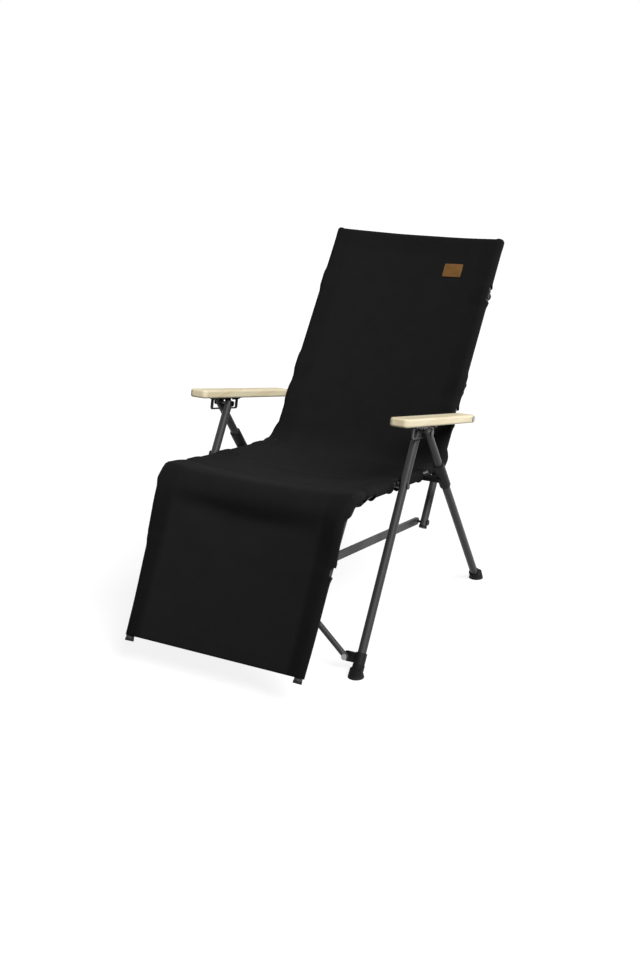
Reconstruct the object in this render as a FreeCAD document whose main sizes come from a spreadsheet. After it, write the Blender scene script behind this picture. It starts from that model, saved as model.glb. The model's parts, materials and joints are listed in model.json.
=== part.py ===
"""Reclining camp lounger with a linked leg rest, as a parametric document in millimetres.

The lounger faces -Y, +X is the viewer's right and +Z is up. The origin is on the floor, below the
middle of the whole outline. Each side has a front and a rear leg joined by an apex pin, a seat rail,
a back tube and a leg rest tube; a flat link joins the last two, so they turn together.
"""

import FreeCAD, Part
import math
import os

from FreeCAD import Placement, Rotation, Vector

SIZES = [
    ("leg_tube_diameter", 20.0, "front and rear legs, outside"),
    ("leg_tube_wall", 1.5, "wall of the leg tubes"),
    ("rail_tube_diameter", 19.0, "seat rails, back tubes and leg rest tubes, outside"),
    ("rail_tube_wall", 1.4, "wall of those tubes"),
    ("rail_half_spacing", 232.5, "middle of the lounger to the middle of a seat rail"),
    ("leg_gap", 8.5, "seat rail to front leg, across"),
    ("bite", 1.0, "reach of a cutter or a plug past the face it starts from"),
    ("plate_gap", 1.5, "recline plate to the leg on each side of it"),
    ("apex_height", 498.0, "floor to apex pin"),
    ("apex_setback", 310.0, "front foot to apex pin, along the floor"),
    ("saddle_ahead", 94.0, "back hinge to where the rear leg passes the seat rail, along the rail"),
    ("knee_height", 414.8, "floor to knee hinge"),
    ("knee_setback", 11.6, "front foot to knee hinge, along the floor"),
    ("seat_length", 493.0, "knee hinge to back hinge"),
    ("seat_slope", 7.71, "degrees that the seat rail falls towards the back"),
    ("back_slope", 53.9, "degrees of the back tube above the floor, above its bend at the back hinge"),
    ("back_length", 636.0, "back hinge to the top of the back tube"),
    ("leg_rest_slope", 59.0, "degrees of the leg rest, and of the back tube below its bend"),
    ("leg_rest_length", 403.0, "knee hinge to the lower end of the leg rest tube"),
    ("leg_rest_toe", 12.5, "leg rest tube's lower end, in from its hinge"),
    ("crank_length", 142.0, "hinge to link pin, at the knee and at the back alike"),
    ("crank_tail", 9.0, "link pin to the lower end of the back tube"),
    ("pin_diameter", 8.0, "hinge, seat and apex pins and armrest bolts"),
    ("link_pin_diameter", 6.0, "pins of the links"),
    ("running_clearance", 0.05, "radial clearance of a pin or tube in its hole"),
    ("head_diameter", 14.0, "heads of pins, bolts and rivets"),
    ("head_height", 2.5, "thickness of those heads"),
    ("fork_cheek", 4.0, "thickness of a fork's cheek"),
    ("fork_radius", 13.0, "round end of a fork's cheek"),
    ("fork_throat", 25.0, "hinge to the web between a fork's cheeks"),
    ("fork_web", 8.0, "web between the cheeks, along the rail"),
    ("fork_plug", 25.0, "plug of a fork inside its rail"),
    ("web_step", 1.0, "web's radius below the cheeks' radius"),
    ("side_clearance", 0.9, "fork cheek to the tube that turns in it"),
    ("foot_base_diameter", 38.0, "rubber foot at the floor"),
    ("foot_waist_diameter", 28.0, "rubber foot where the leg leaves the flare"),
    ("foot_flare_height", 20.0, "height of the flare"),
    ("foot_collar_length", 28.0, "floor to the top of the foot's collar, along the leg"),
    ("foot_sole", 9.0, "floor to the end of the leg tube, along the leg"),
    ("brace_diameter", 14.0, "crossed front braces"),
    ("brace_wall", 1.2, "wall of the front braces"),
    ("brace_hang", 91.0, "knee hinge to the brace hangers, along the seat rail"),
    ("brace_drop", 22.0, "seat rail to the upper brace rivets"),
    ("brace_inset", 33.0, "middle of a front leg to a lower brace rivet, across"),
    ("hanger_inset", 20.0, "middle of a seat rail to an upper brace rivet, across"),
    ("ear_thickness", 5.0, "ears of the brace collars and clamps"),
    ("ear_half_height", 12.0, "half the height of an ear"),
    ("face_clearance", 0.1, "brace to ear, and plate to what it lies on"),
    ("collar_wall", 3.0, "wall of the moulded collars and clamps"),
    ("collar_length", 27.0, "brace collars and hangers, along their tubes"),
    ("rivet_diameter", 6.0, "brace rivets"),
    ("bracket_length", 82.0, "rear bracket's collar, along the rear leg"),
    ("bracket_wall", 3.6, "wall of the rear bracket"),
    ("bracket_rise", 8.0, "middle of the rear bracket's collar above the seat rail, along the rear leg"),
    ("saddle_length", 34.0, "rear bracket's saddle, along the seat rail"),
    ("saddle_clearance", 0.3, "saddle to seat rail"),
    ("link_height", 18.0, "link bar, seen from the side"),
    ("link_thickness", 7.0, "link bar, across"),
    ("link_gap", 3.0, "link bar to the tubes beside it"),
    ("armrest_length", 427.0, "wooden armrest"),
    ("armrest_width", 47.0, "wooden armrest, across"),
    ("armrest_thickness", 20.0, "wooden armrest"),
    ("armrest_gap", 3.0, "back tube to armrest, across"),
    ("pin_drop", 25.0, "apex pin below the armrest's middle line"),
    ("armrest_corner", 11.0, "rounded corners of the armrest, from above"),
    ("armrest_edge", 5.0, "softened edges of the armrest"),
    ("armrest_pivot", 141.0, "back hinge to armrest bolt, along the back tube"),
    ("armrest_overhang", 17.0, "armrest bolt to the rear end of the armrest"),
    ("armrest_follow", 0.2, "share of the recline angle that the armrest turns by"),
    ("recline_angle", 15.0, "degrees from the middle notch to either other notch"),
    ("plate_thickness", 3.0, "recline plate"),
    ("plate_reach", 30.0, "recline plate beyond its outer notches, along the armrest"),
    ("plate_border", 4.0, "recline plate below its window"),
    ("plate_end", 9.0, "recline plate at each end of its window"),
    ("plate_drop", 8.0, "apex pin to the lower edge of the window"),
    ("notch_depth", 4.0, "depth of a notch above the pin's path"),
    ("notch_clearance", 0.6, "pin to the teeth between the notches"),
    ("tab_length", 15.0, "fixing tabs of the recline plate, along the armrest"),
    ("tab_width", 20.0, "fixing tabs, across"),
    ("screw_diameter", 4.0, "screws of the recline plate"),
    ("screw_length", 14.0, "screws, from the underside of the head"),
    ("screw_head", 7.0, "heads of those screws"),
    ("screw_edge", 0.5, "screw head to the side edge of its tab"),
    ("fabric_thickness", 1.7, "sling"),
    ("sleeve_clearance", 0.4, "sling's side sleeve to its tube"),
    ("seat_sag", 26.0, "sling's dip in the middle of the seat"),
    ("back_sag", 17.0, "sling's dip in the middle of the back"),
    ("leg_rest_sag", 12.0, "sling's dip in the middle of the leg rest"),
    ("sleeve_gap", 16.5, "fitting's middle to the sleeve's cut edge beside it"),
    ("sling_start", 46.0, "hinge to the sling's full width"),
    ("tongue_inset", 26.0, "narrower sling beside a fork, in from each rail"),
    ("tongue_end", 18.0, "hinge to the end of the narrower sling"),
    ("back_tongue_end", 36.0, "back hinge to the lower end of the back's sling"),
    ("cap_height", 6.0, "tube end caps, outside the tube"),
    ("cap_plug", 5.0, "tube end caps, inside the tube"),
    ("solid_end", 22.0, "solid end of a leg or leg rest tube, from its pin"),
    ("cap_lip", 0.6, "tube end caps, proud of the tube"),
    ("clamp_low", 232.0, "back hinge to the lower brace clamps"),
    ("clamp_high", 484.0, "back hinge to the upper brace clamps"),
    ("clamp_length", 24.0, "brace clamps, along the back tube"),
    ("clamp_ear", 6.0, "thickness of a clamp's ear"),
    ("clamp_inset", 30.0, "middle of a back tube to a brace rivet, across"),
    ("flat_brace_width", 16.0, "crossed flat back braces"),
    ("flat_brace_thickness", 4.0, "crossed flat back braces"),
    ("patch_width", 53.0, "leather patch"),
    ("patch_height", 38.0, "leather patch"),
    ("patch_thickness", 1.6, "leather patch"),
    ("patch_across", 125.0, "middle of the lounger to the middle of the patch"),
    ("patch_up", 544.0, "back hinge to the middle of the patch"),
    ("patch_clearance", 0.4, "leather patch to the sling"),
]

doc = FreeCAD.newDocument("camp_lounger")
sheet = doc.addObject("Spreadsheet::Sheet", "Sizes")
for row, (alias, number, note) in enumerate(SIZES, start=1):
    sheet.set(f"A{row}", note)
    sheet.set(f"B{row}", str(number))
    sheet.setAlias(f"B{row}", alias)
doc.recompute()


class Size:
    """Read a driving dimension from the sheet by its name."""

    def __getattr__(self, alias):
        return float(sheet.get(alias))


size = Size()
nodes = []

# Directions and tools


def unit(angle):
    """Direction in the side view, from an angle above +Y in degrees."""
    turn = math.radians(angle)
    return math.cos(turn), math.sin(turn)


def reach(point, angle, distance):
    """Point of the side view at a distance along an angle."""
    along = unit(angle)
    return point[0] + distance * along[0], point[1] + distance * along[1]


def turned(vector, angle):
    """Vector of the side view turned back, as the lounger reclines, by an angle."""
    c, s = unit(angle)
    return c * vector[0] + s * vector[1], -s * vector[0] + c * vector[1]


def angle_between(start, end):
    """Angle of the run from start to end, above +Y in degrees."""
    return math.degrees(math.atan2(end[1] - start[1], end[0] - start[0]))


def spot(x, point):
    """Point in space from a distance across and a point of the side view."""
    return Vector(x, point[0], point[1])


def bind(feature, name, value):
    """Tie a property to the sheet where the value is an expression, or set it."""
    if isinstance(value, str):
        feature.setExpression(name, value)
    else:
        setattr(feature, name, value)


def cylinder(name, start, direction, radius, length):
    """Round bar from a point along a direction."""
    bar = doc.addObject("Part::Cylinder", name)
    bind(bar, "Radius", radius)
    bind(bar, "Height", length)
    bar.Placement = Placement(start, Rotation(Vector(0, 0, 1), direction))
    return bar


def bar_between(name, start, end, radius):
    """Round bar from one point to another."""
    return cylinder(name, start, end - start, radius, (end - start).Length)


def across(name, point, x_from, x_to, radius):
    """Round bar along X at a point of the side view."""
    return cylinder(name, spot(x_from, point), Vector(1, 0, 0), radius, x_to - x_from)


def ball(name, centre, radius):
    """Sphere that rounds the end of a tube."""
    sphere = doc.addObject("Part::Sphere", name)
    bind(sphere, "Radius", radius)
    sphere.Placement = Placement(centre, Rotation())
    return sphere


def block(name, placement, sizes):
    """Box whose corner is at the placement."""
    box = doc.addObject("Part::Box", name)
    for side, value in zip(("Length", "Width", "Height"), sizes):
        bind(box, side, value)
    box.Placement = placement
    return box


def fuse(name, *shapes):
    """Shapes joined into one."""
    joined = doc.addObject("Part::MultiFuse", name)
    joined.Shapes = list(shapes)
    return joined


def cut(name, base, *tools):
    """Base with the tools taken away."""
    result = doc.addObject("Part::Cut", name)
    result.Base = base
    result.Tool = tools[0] if len(tools) == 1 else fuse(name + "_tools", *tools)
    return result


def group(name, *shapes):
    """Like pieces that share a node."""
    together = doc.addObject("Part::Compound", name)
    together.Links = list(shapes)
    return together


def padded(name, edges, depth, placement):
    """Outline drawn on a sketch and padded."""
    body = doc.addObject("PartDesign::Body", name)
    sketch = body.newObject("Sketcher::SketchObject", name + "_outline")
    plane = next(item for item in body.Origin.OriginFeatures if item.Role == "XY_Plane")
    sketch.AttachmentSupport = [(plane, "")]
    sketch.MapMode = "FlatFace"
    for edge in edges:
        sketch.addGeometry(edge, False)
    pad = body.newObject("PartDesign::Pad", name + "_pad")
    pad.Profile = sketch
    bind(pad, "Length", depth)
    body.Placement = placement
    return body


def lines(points):
    """Closed run of straight edges."""
    corners = [Vector(a, b, 0) for a, b in points]
    return [Part.LineSegment(p, q) for p, q in zip(corners, corners[1:] + corners[:1])]


def obround(start, end, radius):
    """Bar outline with round ends, from one centre to the other."""
    p, q = Vector(*start, 0), Vector(*end, 0)
    run = (q - p).normalize() * radius
    side = Vector(-run.y, run.x, 0)
    return [
        Part.LineSegment(p - side, q - side),
        Part.Arc(q - side, q + run, q + side),
        Part.LineSegment(q + side, p + side),
        Part.Arc(p + side, p - run, p - side),
    ]


def rounded_rectangle(low, high, radius):
    """Rectangle outline with round corners, from its low corner to its high corner."""
    slack = radius * (1 - math.sqrt(0.5))
    edges = []
    for x, turn_x in ((low[0], 1), (high[0], -1)):
        edges.append(Part.LineSegment(Vector(x, low[1] + radius, 0), Vector(x, high[1] - radius, 0)))
        for y, turn_y in ((low[1], 1), (high[1], -1)):
            edges.append(
                Part.Arc(
                    Vector(x, y + turn_y * radius, 0),
                    Vector(x + turn_x * slack, y + turn_y * slack, 0),
                    Vector(x + turn_x * radius, y, 0),
                )
            )
    for y in (low[1], high[1]):
        edges.append(Part.LineSegment(Vector(low[0] + radius, y, 0), Vector(high[0] - radius, y, 0)))
    return edges


def hole(centre, radius):
    """Round hole in an outline."""
    return Part.Circle(Vector(*centre, 0), Vector(0, 0, 1), radius)


def node(label, feature):
    """Name a finished sub-part."""
    feature.Label = label
    nodes.append(feature)
    return feature


SIDE_VIEW = Rotation(Vector(0, 1, 0), Vector(0, 0, 1), Vector(1, 0, 0), "ZXY")


def lying(angle):
    """Rotation of a plane that holds X and a direction of the side view."""
    c, s = unit(angle)
    return Rotation(Vector(1, 0, 0), Vector(0, c, s), Vector(0, -s, c), "ZXY")


def cross_section(angle):
    """Rotation of a plane square to a direction of the side view."""
    c, s = unit(angle)
    return Rotation(Vector(1, 0, 0), Vector(0, -s, c), Vector(0, -c, -s), "ZXY")


# Places worked out from the sizes

leg_radius = size.leg_tube_diameter / 2
rail_radius = size.rail_tube_diameter / 2
rail_x = size.rail_half_spacing
front_leg_x = rail_x + rail_radius + size.leg_gap + leg_radius
plate_x = front_leg_x + leg_radius + size.plate_gap
rear_leg_x = plate_x + size.plate_thickness + size.plate_gap + leg_radius
sleeve_inner = rail_radius + size.sleeve_clearance
sleeve_outer = sleeve_inner + size.fabric_thickness
pin_hole = size.pin_diameter / 2 + size.running_clearance
link_hole = size.link_pin_diameter / 2 + size.running_clearance
rivet_hole = size.rivet_diameter / 2 + size.running_clearance

seat_angle = -size.seat_slope
back_angle = size.back_slope
leg_rest_angle = size.leg_rest_slope

raw_knee = (size.knee_setback, size.knee_height)
raw_back = reach(raw_knee, seat_angle, size.seat_length)
cap_radius = rail_radius + size.cap_lip
front_end = reach(raw_knee, leg_rest_angle + 180, size.leg_rest_length + size.cap_height)
rear_end = reach(raw_back, back_angle, size.back_length)
front_reach = front_end[0] - cap_radius * unit(leg_rest_angle)[1]
rear_reach = max(
    rear_end[0] + sleeve_outer * unit(back_angle)[1],
    rear_end[0] + size.cap_height * unit(back_angle)[0] + cap_radius * unit(back_angle)[1],
)
middle = (front_reach + rear_reach) / 2

front_foot = (-middle, 0.0)
apex = (size.apex_setback - middle, size.apex_height)
knee = (raw_knee[0] - middle, raw_knee[1])
back = (raw_back[0] - middle, raw_back[1])
front_leg_angle = angle_between(front_foot, apex)
saddle = reach(back, seat_angle, -size.saddle_ahead)
rear_run = apex[1] / (apex[1] - saddle[1])
rear_foot = (apex[0] + (saddle[0] - apex[0]) * rear_run, 0.0)
rear_leg_angle = angle_between(rear_foot, apex)


def crossing(start, angle):
    """Distance from the back hinge, along the seat rail, to where the front leg passes it."""
    c, s = unit(angle)
    d, e = unit(seat_angle)
    gap_y, gap_z = start[0] - back[0], start[1] - back[1]
    return (gap_z * c - gap_y * s) / (e * c - d * s)


seat_pin_at = crossing(front_foot, front_leg_angle)
seat_pin = reach(back, seat_angle, seat_pin_at)
rear_link_pin = reach(back, leg_rest_angle + 180, size.crank_length)
front_link_pin = reach(knee, leg_rest_angle + 180, size.crank_length)
armrest_bolt = reach(back, back_angle, size.armrest_pivot)
apex_reach = math.hypot(apex[0] - armrest_bolt[0], apex[1] - armrest_bolt[1])
armrest_angle = angle_between(armrest_bolt, apex) - math.degrees(math.asin(size.pin_drop / apex_reach))
armrest_x = rail_x + rail_radius + size.armrest_gap


def rest_x(distance):
    """Middle of the lounger to the middle of a leg rest tube, at a distance from the knee."""
    return rail_x - size.leg_rest_toe * distance / size.leg_rest_length


link_outer = rest_x(size.crank_length) - rail_radius - size.link_gap
link_inner = link_outer - size.link_thickness


def span(side, low, high):
    """Range along X of a piece on one side, lower end first."""
    return (low, high) if side > 0 else (-high, -low)


def pin_in_armrest(recline):
    """Apex pin seen from the armrest bolt, along and above the armrest, at a recline angle."""
    arm = turned((armrest_bolt[0] - back[0], armrest_bolt[1] - back[1]), recline)
    bolt = (back[0] + arm[0], back[1] + arm[1])
    forward = turned(unit(armrest_angle), recline * size.armrest_follow)
    upward = (forward[1], -forward[0])
    gap = (apex[0] - bolt[0], apex[1] - bolt[1])
    return (
        gap[0] * forward[0] + gap[1] * forward[1],
        gap[0] * upward[0] + gap[1] * upward[1],
    )


# Legs, feet and pins


def headed_pin(name, point, x_from, x_to, radius):
    """Pin along X with a head at each end."""
    shank = across(name + "_shank", point, x_from, x_to, radius)
    inner = across(name + "_head_a", point, x_from - size.head_height, x_from, "Sizes.head_diameter / 2")
    outer = across(name + "_head_b", point, x_to, x_to + size.head_height, "Sizes.head_diameter / 2")
    return fuse(name, shank, inner, outer)


def leg(label, x, foot, angle, pins):
    """Tube from the foot to a rounded, solid end round the apex pin."""
    start = spot(x, reach(foot, angle, size.foot_sole))
    top = spot(x, apex)
    plug = top + (start - top).normalize() * size.solid_end
    outside = fuse(
        label + "_outside",
        bar_between(label + "_tube", start, top, "Sizes.leg_tube_diameter / 2"),
        ball(label + "_end", top, "Sizes.leg_tube_diameter / 2"),
    )
    bore = bar_between(
        label + "_bore", start, plug, "Sizes.leg_tube_diameter / 2 - Sizes.leg_tube_wall"
    )
    reach_x = leg_radius + size.bite
    holes = [
        across(f"{label}_hole_{index}", point, x - reach_x, x + reach_x, pin_hole)
        for index, point in enumerate(pins)
    ]
    node(label, cut(label + "_leg", outside, bore, *holes))


def foot(label, x, point, angle):
    """Rubber foot: an upright flare on the floor with a collar along the leg."""
    flare = doc.addObject("Part::Cone", label + "_flare")
    bind(flare, "Radius1", "Sizes.foot_base_diameter / 2")
    bind(flare, "Radius2", "Sizes.foot_waist_diameter / 2")
    bind(flare, "Height", "Sizes.foot_flare_height")
    flare.Placement = Placement(spot(x, point), Rotation())
    along = spot(0, unit(angle))
    start = spot(x, reach(point, angle, size.foot_flare_height / 2 + size.foot_sole / 2))
    end = spot(x, reach(point, angle, size.foot_collar_length))
    collar = bar_between(label + "_collar", start, end, "Sizes.foot_waist_diameter / 2")
    socket = cylinder(
        label + "_socket",
        spot(x, reach(point, angle, size.foot_sole)),
        along,
        "Sizes.leg_tube_diameter / 2 + Sizes.running_clearance",
        2 * size.foot_collar_length,
    )
    node(label, cut(label + "_foot", fuse(label + "_outside", flare, collar), socket))


def make_legs(side, name):
    """Legs, feet and apex pin of one side."""
    leg("front_leg_" + name, side * front_leg_x, front_foot, front_leg_angle, [apex, seat_pin])
    leg("rear_leg_" + name, side * rear_leg_x, rear_foot, rear_leg_angle, [apex])
    foot("front_foot_" + name, side * front_leg_x, front_foot, front_leg_angle)
    foot("rear_foot_" + name, side * rear_leg_x, rear_foot, rear_leg_angle)
    ends = span(
        side,
        front_leg_x - leg_radius - size.face_clearance,
        rear_leg_x + leg_radius + size.face_clearance,
    )
    node("apex_pin_" + name, headed_pin("apex_" + name, apex, *ends, "Sizes.pin_diameter / 2"))


# Seat rails with their forks


def make_rail(side, name):
    """Seat rail between its forks, with the pin that carries it on the front leg."""
    x = side * rail_x
    end = size.fork_throat + size.fork_web
    front = spot(x, reach(knee, seat_angle, end))
    rear = spot(x, reach(back, seat_angle, -end))
    label = "seat_rail_" + name
    tube = bar_between(label + "_tube", front, rear, "Sizes.rail_tube_diameter / 2")
    bore = bar_between(
        label + "_bore", front, rear, "Sizes.rail_tube_diameter / 2 - Sizes.rail_tube_wall"
    )
    reach_x = rail_radius + size.bite
    passage = across(label + "_hole", seat_pin, x - reach_x, x + reach_x, pin_hole)
    node(label, cut(label + "_rail", tube, bore, passage))
    ends = span(
        side,
        rail_x - rail_radius - size.face_clearance,
        front_leg_x + leg_radius + size.face_clearance,
    )
    pin = headed_pin("seat_" + name, seat_pin, *ends, "Sizes.pin_diameter / 2")
    gap = span(
        side,
        rail_x + rail_radius + size.face_clearance,
        front_leg_x - leg_radius - size.face_clearance,
    )
    spacer = across("seat_spacer_" + name, seat_pin, *gap, "Sizes.head_diameter / 2")
    node("seat_pin_" + name, fuse("seat_spaced_" + name, pin, spacer))


def fork(label, side, pivot, angle):
    """Moulded end of a seat rail: two cheeks, a web and a plug."""
    x = side * rail_x
    cheek_gap = rail_radius + size.side_clearance
    root = reach(pivot, angle, size.fork_throat + size.fork_web / 2)
    outline = obround(pivot, root, size.fork_radius)
    pieces = []
    for index, start in enumerate((x - cheek_gap - size.fork_cheek, x + cheek_gap)):
        shift = Placement(Vector(start, 0, 0), SIDE_VIEW)
        pieces.append(padded(f"{label}_cheek_{index}", outline, "Sizes.fork_cheek", shift))
    along = spot(0, unit(angle))
    web_start = spot(x, reach(pivot, angle, size.fork_throat))
    plug_start = spot(x, reach(pivot, angle, size.fork_throat + size.fork_web))
    web = cylinder(label + "_web", web_start, along, "Sizes.fork_radius - Sizes.web_step", "Sizes.fork_web")
    plug = cylinder(
        label + "_plug",
        plug_start - along * size.bite,
        along,
        "Sizes.rail_tube_diameter / 2 - Sizes.rail_tube_wall - Sizes.running_clearance",
        "Sizes.fork_plug + Sizes.bite",
    )
    half = cheek_gap + size.fork_cheek + size.bite
    pin_room = across(label + "_hole", pivot, x - half, x + half, pin_hole)
    node(label, cut(label + "_fork", fuse(label + "_moulding", *pieces, web, plug), pin_room))


def hinge_pins(label, pivot):
    """Hinge pins of both sides."""
    half = rail_radius + size.side_clearance + size.fork_cheek + size.face_clearance
    pins = []
    for side, name in SIDES:
        ends = span(side, rail_x - half, rail_x + half)
        pins.append(headed_pin(f"{label}_{name}", pivot, *ends, "Sizes.pin_diameter / 2"))
    node(label, group(label + "_group", *pins))


def make_bracket(side, name):
    """Moulded rear bracket: a collar on the rear leg and a saddle under the seat rail."""
    label = "rear_bracket_" + name
    leg_at = side * rear_leg_x
    rail_at = side * rail_x
    half = size.bracket_length / 2
    collar = bar_between(
        label + "_collar",
        spot(leg_at, reach(saddle, rear_leg_angle, size.bracket_rise - half)),
        spot(leg_at, reach(saddle, rear_leg_angle, size.bracket_rise + half)),
        "Sizes.leg_tube_diameter / 2 + Sizes.bracket_wall",
    )
    saddle_start = spot(rail_at, reach(saddle, seat_angle, -size.saddle_length / 2))
    along = spot(0, unit(seat_angle))
    trough = cylinder(
        label + "_trough",
        saddle_start,
        along,
        "Sizes.rail_tube_diameter / 2 + Sizes.saddle_clearance + Sizes.bracket_wall",
        "Sizes.saddle_length",
    )
    trough_radius = rail_radius + size.saddle_clearance + size.bracket_wall
    lid_corner = reach(saddle, seat_angle, -size.saddle_length)
    lid = block(
        label + "_lid",
        Placement(spot(rail_at - 2 * trough_radius, lid_corner), lying(seat_angle)),
        (4 * trough_radius, 2 * size.saddle_length, 4 * trough_radius),
    )
    half_trough = cut(label + "_half_trough", trough, lid)
    low, high = span(side, rail_x, rear_leg_x)
    arm_corner = reach(reach(saddle, seat_angle, -size.saddle_length / 2), seat_angle + 90, -trough_radius)
    arm = block(
        label + "_arm",
        Placement(spot(low, arm_corner), lying(seat_angle)),
        (high - low, "Sizes.saddle_length", trough_radius - size.bracket_wall),
    )
    rail_room = cylinder(
        label + "_rail_room",
        saddle_start - along * size.saddle_length,
        along,
        "Sizes.rail_tube_diameter / 2 + Sizes.saddle_clearance",
        3 * size.saddle_length,
    )
    leg_room = bar_between(
        label + "_leg_room",
        spot(leg_at, rear_foot),
        spot(leg_at, apex),
        "Sizes.leg_tube_diameter / 2 + Sizes.running_clearance",
    )
    moulding = fuse(label + "_moulding", collar, half_trough, arm)
    node(label, cut(label + "_bracket", moulding, rail_room, leg_room))


# Crossed front braces

brace_low = size.foot_collar_length + size.face_clearance + size.collar_length / 2
brace_foot = reach(front_foot, front_leg_angle, brace_low)
brace_top = reach(knee, seat_angle, size.brace_hang)
brace_angle = angle_between(brace_foot, brace_top)
brace_rise = math.dist(brace_foot, brace_top)
brace_normal = Vector(0, -unit(brace_angle)[1], unit(brace_angle)[0])
brace_offset = size.ear_thickness / 2 + size.face_clearance + size.brace_diameter / 2
brace_x = front_leg_x - size.brace_inset
hanger_x = rail_x - size.hanger_inset


def in_brace_plane(x, rise):
    """Point of the plane that holds the braces, from the lower collars up."""
    return spot(x, reach(brace_foot, brace_angle, rise))


def brace_collar(label, tube, radius, ear_ends, rivet_at):
    """Collar round a tube with an ear in the braces' plane; the tube is given by two points."""
    first, last = tube
    middle_point = in_brace_plane(*ear_ends[1])
    along = (last - first).normalize() * size.collar_length / 2
    ring = bar_between(label + "_ring", middle_point - along, middle_point + along, radius + size.collar_wall)
    ear = padded(
        label + "_ear",
        obround(*ear_ends, size.ear_half_height),
        "Sizes.ear_thickness",
        Placement(spot(0, brace_foot) - brace_normal * size.ear_thickness / 2, lying(brace_angle)),
    )
    tube_room = bar_between(label + "_tube_room", first, last, radius + size.running_clearance)
    rivet_room = cylinder(
        label + "_rivet_room",
        rivet_at - brace_normal * size.ear_thickness,
        brace_normal,
        rivet_hole,
        2 * size.ear_thickness,
    )
    node(label, cut(label + "_collar", fuse(label + "_moulding", ring, ear), tube_room, rivet_room))


def brace_ends(side):
    """Lower and upper end of a brace, in the middle of its plane."""
    low = in_brace_plane(side * brace_x, 0)
    high = in_brace_plane(-side * hanger_x, brace_rise - size.brace_drop)
    return low, high, low + (high - low) * (brace_x / (brace_x + hanger_x))


def front_brace(label, side, face):
    """Brace from a lower ear to the other side's hanger, on the ears' front or rear face."""
    low, high, centre = (point + brace_normal * face * brace_offset for point in brace_ends(side))
    outside = fuse(
        label + "_outside",
        bar_between(label + "_tube", low, high, "Sizes.brace_diameter / 2"),
        ball(label + "_low_end", low, "Sizes.brace_diameter / 2"),
        ball(label + "_high_end", high, "Sizes.brace_diameter / 2"),
    )
    inset = (high - low).normalize() * size.brace_diameter
    bore = bar_between(
        label + "_bore", low + inset, high - inset, "Sizes.brace_diameter / 2 - Sizes.brace_wall"
    )
    rooms = []
    for index, point in enumerate((low, high, centre)):
        start = point - brace_normal * size.brace_diameter
        rooms.append(
            cylinder(f"{label}_room_{index}", start, brace_normal, rivet_hole, 2 * size.brace_diameter)
        )
    node(label, cut(label + "_brace", outside, bore, *rooms))


def rivet(name, centre, direction, near, far):
    """Headed rivet along a direction, from one distance to another."""
    shank = cylinder(
        name + "_shank", centre + direction * near, direction, "Sizes.rivet_diameter / 2", far - near
    )
    low = cylinder(
        name + "_low_head",
        centre + direction * (near - size.head_height),
        direction,
        "Sizes.head_diameter / 2",
        "Sizes.head_height",
    )
    high = cylinder(
        name + "_high_head",
        centre + direction * far,
        direction,
        "Sizes.head_diameter / 2",
        "Sizes.head_height",
    )
    return fuse(name, shank, low, high)


def make_front_braces():
    """Both braces with their collars, hangers and rivets."""
    outer = brace_offset + size.brace_diameter / 2 + size.face_clearance
    inner = size.ear_thickness / 2 + size.face_clearance
    rivets = []
    for face, name in SIDES:
        low, high, centre = brace_ends(face)
        front_brace("front_brace_" + name, face, face)
        leg_x = face * front_leg_x
        brace_collar(
            "brace_collar_" + name,
            (spot(leg_x, front_foot), spot(leg_x, apex)),
            leg_radius,
            ((low.x, 0), (leg_x, 0)),
            low,
        )
        hung_x = face * rail_x
        rise = brace_rise - size.brace_drop
        brace_collar(
            "brace_hanger_" + name,
            (spot(hung_x, knee), spot(hung_x, back)),
            rail_radius,
            ((-high.x, rise), (hung_x, brace_rise)),
            in_brace_plane(-high.x, rise),
        )
        for end, point in (("low", low), ("high", high)):
            rivets.append(rivet(f"brace_rivet_{end}_{name}", point, brace_normal * face, -inner, outer))
    rivets.append(rivet("brace_rivet_centre", centre, brace_normal, -outer, outer))
    node("brace_rivets", group("brace_rivets_group", *rivets))


# Back frame

back_normal = Vector(0, -unit(back_angle)[1], unit(back_angle)[0])
clamp_radius = rail_radius + size.collar_wall
clamp_x = rail_x - size.clamp_inset
ear_back = -clamp_radius - size.clamp_ear + size.collar_wall


def on_back(distance):
    """Point of the side view on the back tube, from the back hinge."""
    return reach(back, back_angle, distance)


tail_end = reach(back, leg_rest_angle + 180, size.crank_length + size.crank_tail)


def make_back_tube(side, name):
    """Back tube, bent at its hinge, with hinge, armrest and link holes, and the armrest bolt."""
    x = side * rail_x
    label = "back_tube_" + name
    bend = spot(x, back)
    low = spot(x, tail_end)
    high = spot(x, on_back(size.back_length))
    runs = {}
    for part, radius in (
        ("tube", "Sizes.rail_tube_diameter / 2"),
        ("bore", "Sizes.rail_tube_diameter / 2 - Sizes.rail_tube_wall"),
    ):
        runs[part] = fuse(
            f"{label}_{part}",
            bar_between(f"{label}_{part}_low", low, bend, radius),
            ball(f"{label}_{part}_bend", bend, radius),
            bar_between(f"{label}_{part}_high", bend, high, radius),
        )
    reach_x = rail_radius + size.bite
    rooms = [
        across(label + "_hinge_room", back, x - reach_x, x + reach_x, pin_hole),
        across(label + "_bolt_room", armrest_bolt, x - reach_x, x + reach_x, pin_hole),
        across(label + "_link_room", rear_link_pin, x - reach_x, x + reach_x, link_hole),
    ]
    node(label, cut(label + "_back", runs["tube"], runs["bore"], *rooms))
    ends = span(
        side,
        rail_x - rail_radius - size.face_clearance,
        armrest_x + size.armrest_width + size.face_clearance,
    )
    bolt = headed_pin("armrest_" + name, armrest_bolt, *ends, "Sizes.pin_diameter / 2")
    node("armrest_bolt_" + name, bolt)


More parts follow.
